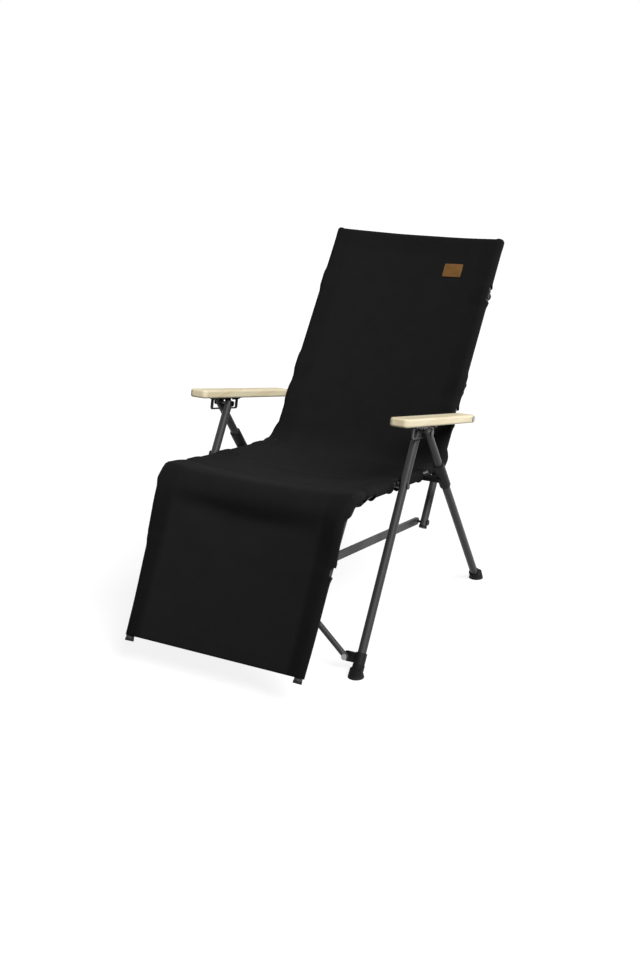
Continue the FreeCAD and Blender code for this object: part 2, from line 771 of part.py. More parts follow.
def link_pins(label, point, tube_x):
    """Pins of both links at one end, each from its tube through its link."""
    pins = []
    for side, name in SIDES:
        ends = span(
            side, link_inner - size.face_clearance, tube_x + rail_radius + size.face_clearance
        )
        pins.append(headed_pin(f"{label}_{name}", point, *ends, "Sizes.link_pin_diameter / 2"))
    node(label, group(label + "_group", *pins))


def cap(name, end, direction):
    """End cap: a short button with a plug in the tube."""
    button = cylinder(
        name + "_button",
        end,
        direction,
        "Sizes.rail_tube_diameter / 2 + Sizes.cap_lip",
        "Sizes.cap_height",
    )
    plug = cylinder(
        name + "_plug",
        end - direction * size.cap_plug,
        direction,
        "Sizes.rail_tube_diameter / 2 - Sizes.rail_tube_wall - Sizes.running_clearance",
        "Sizes.cap_plug",
    )
    return fuse(name, button, plug)


def clamp(label, side, distance):
    """Clamp round a back tube with an ear behind it for a brace."""
    x = side * rail_x
    half = size.clamp_length / 2
    ring = bar_between(
        label + "_ring",
        spot(x, on_back(distance - half)),
        spot(x, on_back(distance + half)),
        "Sizes.rail_tube_diameter / 2 + Sizes.collar_wall",
    )
    ear = padded(
        label + "_ear",
        obround((side * clamp_x, distance), (x, distance), half),
        "Sizes.clamp_ear",
        Placement(spot(0, back) + back_normal * ear_back, lying(back_angle)),
    )
    tube_room = bar_between(
        label + "_tube_room",
        spot(x, back),
        spot(x, on_back(size.back_length)),
        "Sizes.rail_tube_diameter / 2 + Sizes.running_clearance",
    )
    rivet_room = cylinder(
        label + "_rivet_room",
        spot(side * clamp_x, on_back(distance)) + back_normal * (ear_back - size.bite),
        back_normal,
        rivet_hole,
        "Sizes.clamp_ear + 2 * Sizes.bite",
    )
    node(label, cut(label + "_clamp", fuse(label + "_moulding", ring, ear), tube_room, rivet_room))


def make_back_braces():
    """Two flat bars that cross behind the back, with clamps and rivets."""
    step = size.flat_brace_thickness + size.face_clearance
    first = ear_back - step
    second = first - step
    rivets = []
    for (side, name), level in zip(SIDES, (first, second)):
        clamp("back_clamp_low_" + name, side, size.clamp_low)
        clamp("back_clamp_high_" + name, side, size.clamp_high)
        low = (side * clamp_x, size.clamp_low)
        high = (-side * clamp_x, size.clamp_high)
        centre = ((low[0] + high[0]) / 2, (low[1] + high[1]) / 2)
        outline = obround(low, high, size.flat_brace_width / 2)
        outline += [hole(point, rivet_hole) for point in (low, high, centre)]
        bar = padded(
            "flat_brace_" + name,
            outline,
            "Sizes.flat_brace_thickness",
            Placement(spot(0, back) + back_normal * level, lying(back_angle)),
        )
        node("back_brace_" + name, bar)
        for end, (x, distance) in (("low", low), ("high", high)):
            key = f"back_rivet_{end}_{name}"
            middle_point = spot(x, on_back(distance))
            pin = rivet(
                key,
                middle_point,
                back_normal,
                level - size.face_clearance,
                ear_back + size.clamp_ear + size.face_clearance,
            )
            if level == second:
                washer = cylinder(
                    key + "_washer",
                    middle_point + back_normal * (first - size.face_clearance / 2),
                    back_normal,
                    "Sizes.head_diameter / 2",
                    "Sizes.flat_brace_thickness",
                )
                pin = fuse(key + "_spaced", pin, washer)
            rivets.append(pin)
    centre = spot(0, on_back((size.clamp_low + size.clamp_high) / 2))
    rivets.append(
        rivet(
            "back_rivet_centre",
            centre,
            back_normal,
            second - size.face_clearance,
            ear_back,
        )
    )
    node("back_brace_rivets", group("back_rivets_group", *rivets))


# Leg rest and links


def rest_end(side):
    """Lower end of a leg rest tube."""
    end = reach(knee, leg_rest_angle + 180, size.leg_rest_length)
    return spot(side * rest_x(size.leg_rest_length), end)


def make_leg_rest_tube(side, name):
    """Leg rest tube with a rounded top end round the knee pin."""
    x = side * rail_x
    label = "leg_rest_tube_" + name
    top = spot(x, knee)
    low = rest_end(side)
    plug = top + (low - top).normalize() * size.solid_end
    outside = fuse(
        label + "_outside",
        bar_between(label + "_tube", low, top, "Sizes.rail_tube_diameter / 2"),
        ball(label + "_end", top, "Sizes.rail_tube_diameter / 2"),
    )
    bore = bar_between(
        label + "_bore", low, plug, "Sizes.rail_tube_diameter / 2 - Sizes.rail_tube_wall"
    )
    reach_x = rail_radius + size.bite
    link_x = side * rest_x(size.crank_length)
    rooms = [
        across(label + "_hinge_room", knee, x - reach_x, x + reach_x, pin_hole),
        across(label + "_link_room", front_link_pin, link_x - reach_x, link_x + reach_x, link_hole),
    ]
    node(label, cut(label + "_rest", outside, bore, *rooms))


def make_link(side, name):
    """Flat link bar with a hole at each end."""
    outline = obround(front_link_pin, rear_link_pin, size.link_height / 2)
    outline += [hole(point, link_hole) for point in (front_link_pin, rear_link_pin)]
    start = span(side, link_inner, link_outer)[0]
    bar = padded(
        "flat_link_" + name, outline, "Sizes.link_thickness", Placement(Vector(start, 0, 0), SIDE_VIEW)
    )
    node("link_" + name, bar)


def make_caps():
    """End caps of the back tubes and the leg rest tubes."""
    up = spot(0, unit(back_angle))
    down = spot(0, unit(leg_rest_angle + 180))
    back_caps = []
    rest_caps = []
    for side, name in SIDES:
        x = side * rail_x
        back_caps.append(cap("back_top_cap_" + name, spot(x, on_back(size.back_length)), up))
        back_caps.append(cap("back_tail_cap_" + name, spot(x, tail_end), down))
        end = rest_end(side)
        rest_caps.append(cap("leg_rest_cap_" + name, end, (end - spot(x, knee)).normalize()))
    node("back_tube_caps", group("back_caps_group", *back_caps))
    node("leg_rest_caps", group("leg_rest_caps_group", *rest_caps))


# Armrests with their recline plates

arm_forward = unit(armrest_angle)
arm_upward = (arm_forward[1], -arm_forward[0])
arm_below = -size.armrest_thickness / 2


def on_armrest(along, above):
    """Point of the side view from the armrest bolt, along and above the armrest."""
    return (
        armrest_bolt[0] + along * arm_forward[0] + above * arm_upward[0],
        armrest_bolt[1] + along * arm_forward[1] + above * arm_upward[1],
    )


def softened(name, body, radius):
    """Body with its long outer edges rounded."""
    rounded = doc.addObject("Part::Fillet", name)
    rounded.Base = body
    doc.recompute()
    edges = []
    for index, edge in enumerate(body.Shape.Edges, start=1):
        normal = arm_upward
        heights = [
            (vertex.Point.y - armrest_bolt[0]) * normal[0] + (vertex.Point.z - armrest_bolt[1]) * normal[1]
            for vertex in edge.Vertexes
        ]
        if max(heights) - min(heights) < size.face_clearance:
            edges.append((index, radius, radius))
    rounded.Edges = edges
    return rounded


notches = [pin_in_armrest(turn) for turn in (-size.recline_angle, 0, size.recline_angle)]
plate_rear = notches[0][0] - size.plate_reach
plate_front = notches[-1][0] + size.plate_reach


def screw_places():
    """Plate screws: across from the plate's middle and along from the armrest bolt."""
    inset = size.tab_length / 2
    aside = size.tab_width / 2 - size.screw_head / 2 - size.screw_edge
    return [(x, along) for along in (plate_rear + inset, plate_front - inset) for x in (-aside, aside)]


plate_middle = plate_x + size.plate_thickness / 2
armrest_plane = Rotation(Vector(1, 0, 0), spot(0, arm_forward), spot(0, arm_upward) * -1, "ZXY")


def make_armrest(side, name):
    """Wooden armrest with rounded corners, softened edges, a bolt hole and screw holes."""
    label = "armrest_" + name
    x_from, x_to = span(side, armrest_x, armrest_x + size.armrest_width)
    rear = -size.armrest_overhang
    front = rear + size.armrest_length
    body = padded(
        label + "_wood",
        rounded_rectangle((x_from, rear), (x_to, front), size.armrest_corner),
        "Sizes.armrest_thickness",
        Placement(spot(0, on_armrest(0, -arm_below)), armrest_plane),
    )
    rooms = [across(label + "_bolt_room", armrest_bolt, x_from - size.bite, x_to + size.bite, pin_hole)]
    for index, (x, along) in enumerate(screw_places()):
        rooms.append(
            cylinder(
                f"{label}_screw_room_{index}",
                spot(side * plate_middle + x, on_armrest(along, arm_below)),
                spot(0, arm_upward),
                "Sizes.screw_diameter / 2 + Sizes.running_clearance",
                "Sizes.screw_length",
            )
        )
    node(label, cut(label + "_armrest", softened(label + "_soft", body, size.armrest_edge), *rooms))


def window_edge(ends, low):
    """Window of the recline plate: a plain lower edge and a notched upper edge."""
    reach_up = size.pin_diameter / 2 + size.notch_clearance
    edge = [(ends[0], low), (ends[0], notches[0][1] + reach_up)]
    for along, above in notches:
        tip = above + reach_up
        root = tip + size.notch_depth
        shoulder = root - reach_up / 2
        edge += [(along - reach_up, tip), (along - reach_up, shoulder), (along - reach_up / 2, root)]
        edge += [(along + reach_up / 2, root), (along + reach_up, shoulder), (along + reach_up, tip)]
    edge += [(ends[1], notches[-1][1] + reach_up), (ends[1], low)]
    return edge


def make_recline_plate(side, name):
    """Notched plate below the armrest, with two fixing tabs: the apex pin runs in its window."""
    label = "recline_plate_" + name
    border = size.plate_border
    top = arm_below - size.face_clearance
    low = -size.pin_drop - size.pin_diameter / 2 - size.plate_drop
    bottom = low - border
    outer = [(plate_rear, top), (plate_rear, low), (plate_rear + border, bottom)]
    outer += [(plate_front - border, bottom), (plate_front, low), (plate_front, top)]
    ends = (plate_rear + size.plate_end, plate_front - size.plate_end)
    outline = lines([on_armrest(*point) for point in outer])
    outline += lines([on_armrest(*point) for point in window_edge(ends, low)])
    start = span(side, plate_x, plate_x + size.plate_thickness)[0]
    web = padded(label + "_web", outline, "Sizes.plate_thickness", Placement(Vector(start, 0, 0), SIDE_VIEW))
    pieces = [web]
    for index, along in enumerate((plate_rear, plate_front - size.tab_length)):
        corner = spot(side * plate_middle - size.tab_width / 2, on_armrest(along, top))
        pieces.append(
            block(
                f"{label}_tab_{index}",
                Placement(corner, armrest_plane),
                ("Sizes.tab_width", "Sizes.tab_length", "Sizes.plate_thickness"),
            )
        )
    screws = []
    rooms = []
    upward = spot(0, arm_upward)
    for index, (x, along) in enumerate(screw_places()):
        key = f"plate_screw_{index}_{name}"
        face = spot(side * plate_middle + x, on_armrest(along, top - size.plate_thickness))
        under = size.head_height + size.face_clearance
        screws.append(
            fuse(
                key,
                cylinder(
                    key + "_head", face - upward * under, upward, "Sizes.screw_head / 2", "Sizes.head_height"
                ),
                cylinder(
                    key + "_shank",
                    face - upward * under,
                    upward,
                    "Sizes.screw_diameter / 2",
                    "Sizes.screw_length",
                ),
            )
        )
        rooms.append(
            cylinder(
                f"{label}_screw_room_{index}",
                face - upward * size.plate_thickness,
                upward,
                "Sizes.screw_diameter / 2 + Sizes.running_clearance",
                3 * size.plate_thickness,
            )
        )
    node(label, cut(label + "_plate", fuse(label + "_blank", *pieces), *rooms))
    node("plate_screws_" + name, group(f"plate_screws_{name}_group", *screws))


# Sling panels and patch


def sling_outline(dip, half):
    """Cross-section of a sling panel: a dipped sheet over a sleeve round each tube."""
    radius = (half**2 + dip**2) / (2 * dip)
    rise = sleeve_inner - dip + radius
    centres = math.hypot(half, rise)
    share = (sleeve_outer**2 - radius**2 + centres**2) / (2 * centres)
    side = math.sqrt(sleeve_outer**2 - share**2)
    meet_x = half - (share * half + side * rise) / centres
    meet_z = (share * rise - side * half) / centres
    top = [Vector(x, sleeve_outer - drop, 0) for x, drop in ((-half, 0), (0, dip), (half, 0))]
    under = [Vector(-meet_x, meet_z, 0), Vector(0, sleeve_inner - dip, 0), Vector(meet_x, meet_z, 0)]
    edges = [Part.Arc(*top), Part.Arc(*under)]
    for x, upper, lower in ((-half, top[0], under[0]), (half, top[2], under[2])):
        edges.append(Part.Arc(upper, Vector(x, -sleeve_outer, 0), lower))
    return edges


def section(name, edges, placement):
    """Sketch of a sling's cross-section."""
    sketch = doc.addObject("Sketcher::SketchObject", name)
    for edge in edges:
        sketch.addGeometry(edge, False)
    sketch.Placement = placement
    return sketch


def panel(label, pivot, angle, ends, dip, bare, halves=(rail_x, rail_x)):
    """Stretch of sling between two distances from a hinge, with its edges cut away along the bare runs."""
    places = [Placement(spot(0, reach(pivot, angle, end)), cross_section(angle)) for end in ends]
    whole = doc.addObject("Part::Loft", label + "_whole")
    whole.Sections = [
        section(f"{label}_section_{index}", sling_outline(dip, half), place)
        for index, (half, place) in enumerate(zip(halves, places))
    ]
    whole.Solid = True
    whole.Ruled = True
    wide = size.tongue_inset + 2 * sleeve_outer
    rooms = []
    for side, name in SIDES:
        near, far = (spot(side * half, reach(pivot, angle, end)) for half, end in zip(halves, ends))
        past = (far - near).normalize() * size.bite
        rooms.append(bar_between(f"{label}_tube_room_{name}", near - past, far + past, sleeve_inner))
        x = span(side, halves[-1] - size.tongue_inset, halves[-1] - size.tongue_inset + wide)[0]
        for index, (low, high) in enumerate(bare):
            corner = reach(reach(pivot, angle, low), angle - 90, 2 * sleeve_outer)
            rooms.append(
                block(
                    f"{label}_room_{name}_{index}",
                    Placement(spot(x, corner), lying(angle)),
                    (wide, high - low, 4 * sleeve_outer),
                )
            )
    node(label, cut(label + "_panel", whole, *rooms))


def beside(place):
    """Bare run beside a fitting."""
    return place - size.sleeve_gap, place + size.sleeve_gap


def make_slings():
    """Seat, back and leg rest panels of the sling."""
    seat_ends = (size.tongue_end - size.seat_length, -size.tongue_end)
    saddle_front = -size.saddle_ahead - size.saddle_length / 2 - size.side_clearance
    seat_bare = [
        (seat_ends[0] - size.bite, size.sling_start - size.seat_length),
        beside(size.brace_hang - size.seat_length),
        beside(seat_pin_at),
        (saddle_front, seat_ends[1] + size.bite),
    ]
    panel("seat_sling", back, seat_angle, seat_ends, size.seat_sag, seat_bare)

    back_ends = (size.back_tongue_end, size.back_length)
    back_bare = [(back_ends[0] - size.bite, size.sling_start)]
    back_bare += [beside(place) for place in (size.armrest_pivot, size.clamp_low, size.clamp_high)]
    panel("back_sling", back, back_angle, back_ends, size.back_sag, back_bare)

    rest_ends = (size.cap_height - size.leg_rest_length, -size.tongue_end)
    rest_bare = [(-size.sling_start, rest_ends[1] + size.bite), beside(-size.crank_length)]
    halves = [rest_x(-end) for end in rest_ends]
    panel("leg_rest_sling", knee, leg_rest_angle, rest_ends, size.leg_rest_sag, rest_bare, halves)


def make_patch():
    """Bare leather patch sewn on the back sling."""
    radius = (rail_x**2 + size.back_sag**2) / (2 * size.back_sag)
    tilt = math.asin(size.patch_across / radius)
    dip = size.back_sag - radius * (1 - math.cos(tilt))
    face = sleeve_outer - dip + size.patch_clearance
    centre = spot(size.patch_across, on_back(size.patch_up)) + back_normal * face
    turn = lying(back_angle).multiply(Rotation(Vector(0, 1, 0), -math.degrees(tilt)))
    corner = turn.multVec(Vector(-size.patch_width / 2, -size.patch_height / 2, 0))
    patch = block(
        "patch_leather",
        Placement(centre + corner, turn),
        ("Sizes.patch_width", "Sizes.patch_height", "Sizes.patch_thickness"),
    )
    node("leather_patch", patch)


# Assembly

SIDES = ((-1, "left"), (1, "right"))

for side, name in SIDES:
    make_legs(side, name)
    make_rail(side, name)
    fork("knee_fork_" + name, side, knee, seat_angle)
    fork("back_fork_" + name, side, back, seat_angle + 180)
    make_bracket(side, name)
    make_back_tube(side, name)
    make_leg_rest_tube(side, name)
    make_link(side, name)
    make_armrest(side, name)
    make_recline_plate(side, name)
hinge_pins("knee_hinge_pins", knee)
hinge_pins("back_hinge_pins", back)
link_pins("back_link_pins", rear_link_pin, rail_x)
link_pins("leg_rest_link_pins", front_link_pin, rest_x(size.crank_length - size.head_diameter / 2))
make_front_braces()
make_back_braces()
make_caps()
make_slings()
make_patch()
doc.recompute()

for feature in doc.Objects:
    if "Invalid" in feature.State or "Error" in feature.State:
        raise RuntimeError(f"{feature.Name} failed: {feature.State}")
for feature in nodes:
    if feature.Shape.isNull() or not feature.Shape.isValid():
        raise RuntimeError(f"{feature.Label} has no valid shape")

os.makedirs("parts", exist_ok=True)
for feature in nodes:
    feature.Shape.exportStep(f"parts/{feature.Label}.step")
print(len(nodes), "sub-parts written")
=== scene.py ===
"""Looks of a reclining camp lounger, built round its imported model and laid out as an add-on."""

import json
import math

import bmesh
import bpy
from bpy.props import FloatProperty, FloatVectorProperty, PointerProperty
from mathutils import Matrix, Vector, noise
from mathutils.geometry import interpolate_bezier


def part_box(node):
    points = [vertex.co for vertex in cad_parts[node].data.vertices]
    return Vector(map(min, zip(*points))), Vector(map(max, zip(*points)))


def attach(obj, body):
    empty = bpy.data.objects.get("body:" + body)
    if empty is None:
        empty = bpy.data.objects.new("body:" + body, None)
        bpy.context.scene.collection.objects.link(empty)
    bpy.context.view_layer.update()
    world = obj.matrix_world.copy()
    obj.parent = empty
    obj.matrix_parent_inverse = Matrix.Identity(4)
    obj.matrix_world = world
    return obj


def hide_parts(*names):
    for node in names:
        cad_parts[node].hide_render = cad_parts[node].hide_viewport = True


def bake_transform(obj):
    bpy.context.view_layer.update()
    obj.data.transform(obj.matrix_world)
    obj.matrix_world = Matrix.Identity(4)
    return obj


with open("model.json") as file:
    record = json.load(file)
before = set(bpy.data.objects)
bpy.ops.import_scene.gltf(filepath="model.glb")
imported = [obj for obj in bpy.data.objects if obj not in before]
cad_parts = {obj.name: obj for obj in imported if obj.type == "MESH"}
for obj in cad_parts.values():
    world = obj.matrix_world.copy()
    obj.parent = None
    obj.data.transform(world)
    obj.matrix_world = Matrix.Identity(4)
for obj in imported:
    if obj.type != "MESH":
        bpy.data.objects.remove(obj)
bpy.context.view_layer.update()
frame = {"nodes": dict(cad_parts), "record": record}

bl_info = {
    "name": "Camp lounger looks",
    "version": (1, 0, 0),
    "blender": (4, 5, 0),
    "location": "View3D > Sidebar > Lounger",
    "description": "Finishes, sling, patch and studio for a reclining camp lounger",
    "category": "Object",
}

SIDES = ("left", "right")
JOINTS = {joint["name"]: Vector(joint["pos_m"]) for joint in frame["record"]["behaviour"]["joints"]}
BACK_HINGE = JOINTS["recline"].yz
KNEE = JOINTS["leg_rest_swing"].yz


def middle_of(node):
    """Centre of a CAD node's box."""
    low, high = (Vector(corner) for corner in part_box(node))
    return (low + high) / 2


RAIL_X = middle_of("seat_rail_right").x
BACK_UP = (middle_of("armrest_bolt_right").yz - BACK_HINGE).normalized()
SEAT_REAR = (BACK_HINGE - KNEE).normalized()
REST_UP = (KNEE - middle_of("leg_rest_link_pins").yz).normalized()


# Settings


def colour(name, description, default):
    """Colour that the panel shows."""
    return FloatVectorProperty(
        name=name, description=description, default=default, subtype="COLOR", size=3, min=0.0, max=1.0
    )


def length(name, description, default):
    """Length in metres that the panel shows."""
    return FloatProperty(name=name, description=description, default=default, unit="LENGTH", precision=4)


class SlingSettings(bpy.types.PropertyGroup):
    """Sizes and colours of the canvas sling."""

    thickness: length("Thickness", "Canvas, measured through", 0.0017)
    lift: length("Lift", "Tube axis to the middle of the canvas", 0.01075)
    fitting_lift: length("Fitting lift", "Extra lift of the canvas over a fitting", 0.003)
    cap_lift: length("Cap lift", "Extra lift of the sleeves over the head caps", 0.0007)
    fitting_gap: length("Fitting gap", "Fitting's middle to the sleeve's cut edge", 0.0185)
    saddle: length("Saddle", "Back hinge to the middle of the rear bracket's saddle", 0.094)
    corner: length("Corner", "Reach of the loose hem past a rail's axis, over a hinge fork", 0.019)
    shelf: length("Shelf", "Level part of that reach, before the hem turns down", 0.005)
    slack: length("Slack", "Extra lift at the top of the leg rest's sleeves", 0.006)
    step: length("Step", "Spacing of the mesh rows", 0.006)
    back: length("Back", "Back hinge to the head hem", 0.639)
    rest: length("Leg rest", "Knee to the foot hem", 0.397)
    toe: length("Toe", "Leg rest tube's lower end, in from the knee", 0.0125)
    head_dip: length("Head dip", "Dip of the head hem", 0.009)
    back_dip: length("Back dip", "Dip in the middle of the back", 0.017)
    seat_dip: length("Seat dip", "Dip in the middle of the seat", 0.026)
    front_dip: length("Front dip", "Dip of the seat behind the knee", 0.018)
    rest_dip: length("Leg rest dip", "Dip in the middle of the leg rest", 0.012)
    knee_bulge: length("Knee bulge", "Canvas in front of the leg rest tube below the knee", 0.03)
    roll: length("Roll", "Radius of the roll over the knee", 0.04)
    thread: length("Thread", "Pitch of the weave", 0.0011)
    seam: length("Seam", "Rail to the seam of its sleeve", 0.036)
    hem: length("Hem", "Head or foot end to the seam of its hem", 0.022)
    stitch: length("Stitch", "Pitch of the stitches", 0.0042)
    dark: colour("Canvas", "Canvas in the shade of the weave", (0.0085, 0.0085, 0.009))
    light: colour("Canvas light", "Canvas on top of the threads", (0.0165, 0.0165, 0.0172))


class FinishSettings(bpy.types.PropertyGroup):
    """Colours of the frame, the armrests and the patch."""

    tube: colour("Tubes", "Satin coat of the tubes", (0.041, 0.041, 0.0424))
    plastic: colour("Plastic", "Moulded brackets, forks and clamps", (0.009, 0.009, 0.0094))
    rubber: colour("Rubber", "Feet", (0.009, 0.009, 0.009))
    dust: colour("Dust", "Dust low on the feet", (0.06, 0.058, 0.054))
    steel: colour("Steel", "Bolts of the armrests and rivets", (0.33, 0.33, 0.34))
    burnished: colour("Burnished steel", "Hinge pins and screws", (0.045, 0.045, 0.047))
    wood: colour("Wood", "Pale wood of the armrests", (0.84, 0.75, 0.525))
    grain: colour("Grain", "Darker grain of the armrests", (0.68, 0.54, 0.33))
    leather: colour("Leather", "Patch", (0.2, 0.094, 0.02))
    thread: colour("Patch thread", "Stitches round the patch", (0.34, 0.19, 0.08))


class StageSettings(bpy.types.PropertyGroup):
    """Camera, lights and floor."""

    eye: FloatVectorProperty(
        name="Eye", description="Camera position", default=(1.4221, -2.6681, 1.3523), subtype="TRANSLATION"
    )
    turn: FloatProperty(
        name="Turn", description="Camera's turn to the left", default=math.radians(28.3), unit="ROTATION"
    )
    tilt: FloatProperty(
        name="Tilt", description="Camera's tilt downwards", default=math.radians(18.74), unit="ROTATION"
    )
    lens: FloatProperty(name="Lens", description="Focal length in mm on a 36 mm high sensor", default=48.03)
    key: FloatProperty(name="Key", description="Strength of the soft sun from the right", default=3.4)
    side: FloatProperty(name="Side", description="Light from behind on the right", default=16.0, unit="POWER")
    fill: FloatProperty(name="Fill", description="Light from the left", default=3.0, unit="POWER")
    sky: FloatProperty(name="Sky", description="Even light from all round", default=0.1)


# Shader nodes


class Value:
    """Shader value whose sums add Math nodes."""

    def __init__(self, nodes, socket):
        self.nodes = nodes
        self.socket = socket

    def math(self, operation, *others):
        """Result of a Math node."""
        inputs = dict(enumerate((self, *others)))
        return self.nodes.make("ShaderNodeMath", {"operation": operation}, inputs)

    def __add__(self, other):
        return self.math("ADD", other)

    def __mul__(self, other):
        return self.math("MULTIPLY", other)

    def __sub__(self, other):
        return self.math("SUBTRACT", other)

    def __rsub__(self, other):
        return (self * -1.0) + other

    __radd__ = __add__
    __rmul__ = __mul__

    def size(self):
        """Value without its sign."""
        return self.math("ABSOLUTE")

    def sine(self):
        return self.math("SINE")

    def rise(self, low, high):
        """Smooth step from 0 at low to 1 at high."""
        settings = {"interpolation_type": "SMOOTHSTEP"}
        inputs = {"Value": self, "From Min": low, "From Max": high}
        return self.nodes.make("ShaderNodeMapRange", settings, inputs)


class Nodes:
    """Node tree in which one method makes every node."""

    # Colour sockets of a Mix node, which share their names with its other sockets
    mix_first = 6
    mix_second = 7
    mix_result = 2

    def __init__(self, tree):
        self.tree = tree
        tree.nodes.clear()

    def make(self, kind, settings=None, inputs=None, output=0):
        """New node with its settings and inputs, as the value of one output if it has any."""
        node = self.tree.nodes.new(kind)
        for name, value in (settings or {}).items():
            setattr(node, name, value)
        for key, value in (inputs or {}).items():
            if isinstance(value, Value):
                self.tree.links.new(value.socket, node.inputs[key])
            else:
                node.inputs[key].default_value = value
        return Value(self, node.outputs[output]) if node.outputs else node

    def split(self, vector):
        """The three numbers of a vector."""
        parts = self.make("ShaderNodeSeparateXYZ", inputs={0: vector})
        return [Value(self, socket) for socket in parts.socket.node.outputs]

    def place(self, turn=(0.0, 0.0, 0.0), scale=(1.0, 1.0, 1.0)):
        """Object coordinates, turned and scaled."""
        spot = self.make("ShaderNodeTexCoord", output="Object")
        return self.make("ShaderNodeMapping", inputs={"Vector": spot, "Rotation": turn, "Scale": scale})

    def noise(self, vector, scale, detail=2.0):
        return self.make("ShaderNodeTexNoise", inputs={"Vector": vector, "Scale": scale, "Detail": detail})

    def mix(self, factor, first, second):
        """Colour between two others."""
        pair = [value if isinstance(value, Value) else (*value, 1.0) for value in (first, second)]
        inputs = {"Factor": factor, self.mix_first: pair[0], self.mix_second: pair[1]}
        return self.make("ShaderNodeMix", {"data_type": "RGBA"}, inputs, output=self.mix_result)

    def bump(self, height, distance, strength):
        """Normal of a relief."""
        inputs = {"Height": height, "Distance": distance, "Strength": strength}
        return self.make("ShaderNodeBump", inputs=inputs)

    def shown(self):
        """1 for what the camera sees, straight or in a mirror or glass, and 0 for what gives light."""
        rays = ("Is Camera Ray", "Is Glossy Ray", "Is Transmission Ray")
        return sum(self.make("ShaderNodeLightPath", output=ray) for ray in rays)

    def surface(self, inputs):
        """Principled surface as the tree's output."""
        shader = self.make("ShaderNodeBsdfPrincipled", inputs=inputs)
        self.make("ShaderNodeOutputMaterial", inputs={"Surface": shader})


def new_material(name):
    """Empty material and its nodes."""
    material = bpy.data.materials.new(name)
    material.use_nodes = True
    return material, Nodes(material.node_tree)


def toned(base, factor):
    """Colour made lighter or darker."""
    return [channel * factor for channel in base]


def satin_tube(settings):
    """Dark satin coat with a fine grain and rubbed spots."""
    material, nodes = new_material("satin tube")
    fine = nodes.noise(nodes.place(), scale=900.0, detail=3.0)
    cloudy = nodes.noise(nodes.place(), scale=26.0, detail=4.0)
    rubbed = cloudy.rise(0.62, 0.78)
    tone = nodes.mix(rubbed * 0.5, settings.tube, toned(settings.tube, 1.7))
    nodes.surface(
        {
            "Base Color": tone,
            "Roughness": 0.36 + fine * 0.08 + rubbed * 0.08,
            "Specular IOR Level": 0.2,
            "Normal": nodes.bump(fine, distance=0.00005, strength=0.4),
        }
    )
    return material


def moulded_plastic(settings):
    """Black moulded plastic with a fine spark texture."""
    material, nodes = new_material("moulded plastic")
    spark = nodes.noise(nodes.place(), scale=1400.0, detail=2.0)
    cloudy = nodes.noise(nodes.place(), scale=40.0, detail=3.0)
    tone = nodes.mix(cloudy, settings.plastic, toned(settings.plastic, 1.5))
    nodes.surface(
        {
            "Base Color": tone,
            "Roughness": 0.42 + spark * 0.16,
            "Specular IOR Level": 0.12,
            "Normal": nodes.bump(spark, distance=0.0001, strength=0.5),
        }
    )
    return material


def foot_rubber(settings):
    """Matte rubber, dusty towards the floor."""
    material, nodes = new_material("foot rubber")
    place = nodes.place()
    grain = nodes.noise(place, scale=700.0, detail=3.0)
    height = nodes.split(place)[2]
    dusty = (1.0 - height.rise(0.0, 0.012)) * nodes.noise(place, scale=120.0, detail=3.0)
    tone = nodes.mix(dusty * 0.6, settings.rubber, settings.dust)
    nodes.surface(
        {
            "Base Color": tone,
            "Roughness": 0.62 + grain * 0.2,
            "Specular IOR Level": 0.12,
            "Normal": nodes.bump(grain, distance=0.0002, strength=0.5),
        }
    )
    return material


def pin_steel(name, base):
    """Steel of pins, rivets and screws, slightly tarnished."""
    material, nodes = new_material(name)
    place = nodes.place()
    scuff = nodes.noise(place, scale=480.0, detail=4.0)
    tarnish = nodes.noise(place, scale=90.0, detail=3.0).rise(0.5, 0.75)
    tone = nodes.mix(tarnish * 0.5, base, toned(base, 0.5))
    nodes.surface(
        {
            "Base Color": tone,
            "Metallic": 1.0,
            "Roughness": 0.26 + scuff * 0.18,
            "Normal": nodes.bump(scuff, distance=0.00008, strength=0.4),
        }
    )
    return material


def pale_wood(settings):
    """Pale wood with fine grain along the armrest, pores and a few darker rings."""
    material, nodes = new_material("pale wood")
    slope = (math.radians(12.6), 0.0, 0.0)
    rings = nodes.noise(nodes.place(slope, scale=(60.0, 2.4, 60.0)), scale=0.9, detail=3.0)
    fibres = nodes.noise(nodes.place(slope, scale=(700.0, 14.0, 700.0)), scale=1.0, detail=3.0)
    specks = nodes.noise(nodes.place(slope, scale=(1500.0, 60.0, 1500.0)), scale=1.0, detail=1.0)
    pores = specks.rise(0.64, 0.74)
    dark = rings.rise(0.44, 0.68) * 0.42 + fibres.rise(0.42, 0.7) * 0.22 + pores * 0.16
    tone = nodes.mix(dark, settings.wood, settings.grain)
    nodes.surface(
        {
            "Base Color": tone,
            "Roughness": 0.46 + fibres * 0.16,
            "Specular IOR Level": 0.35,
            "Normal": nodes.bump(fibres - pores, distance=0.00012, strength=0.5),
        }
    )
    return material


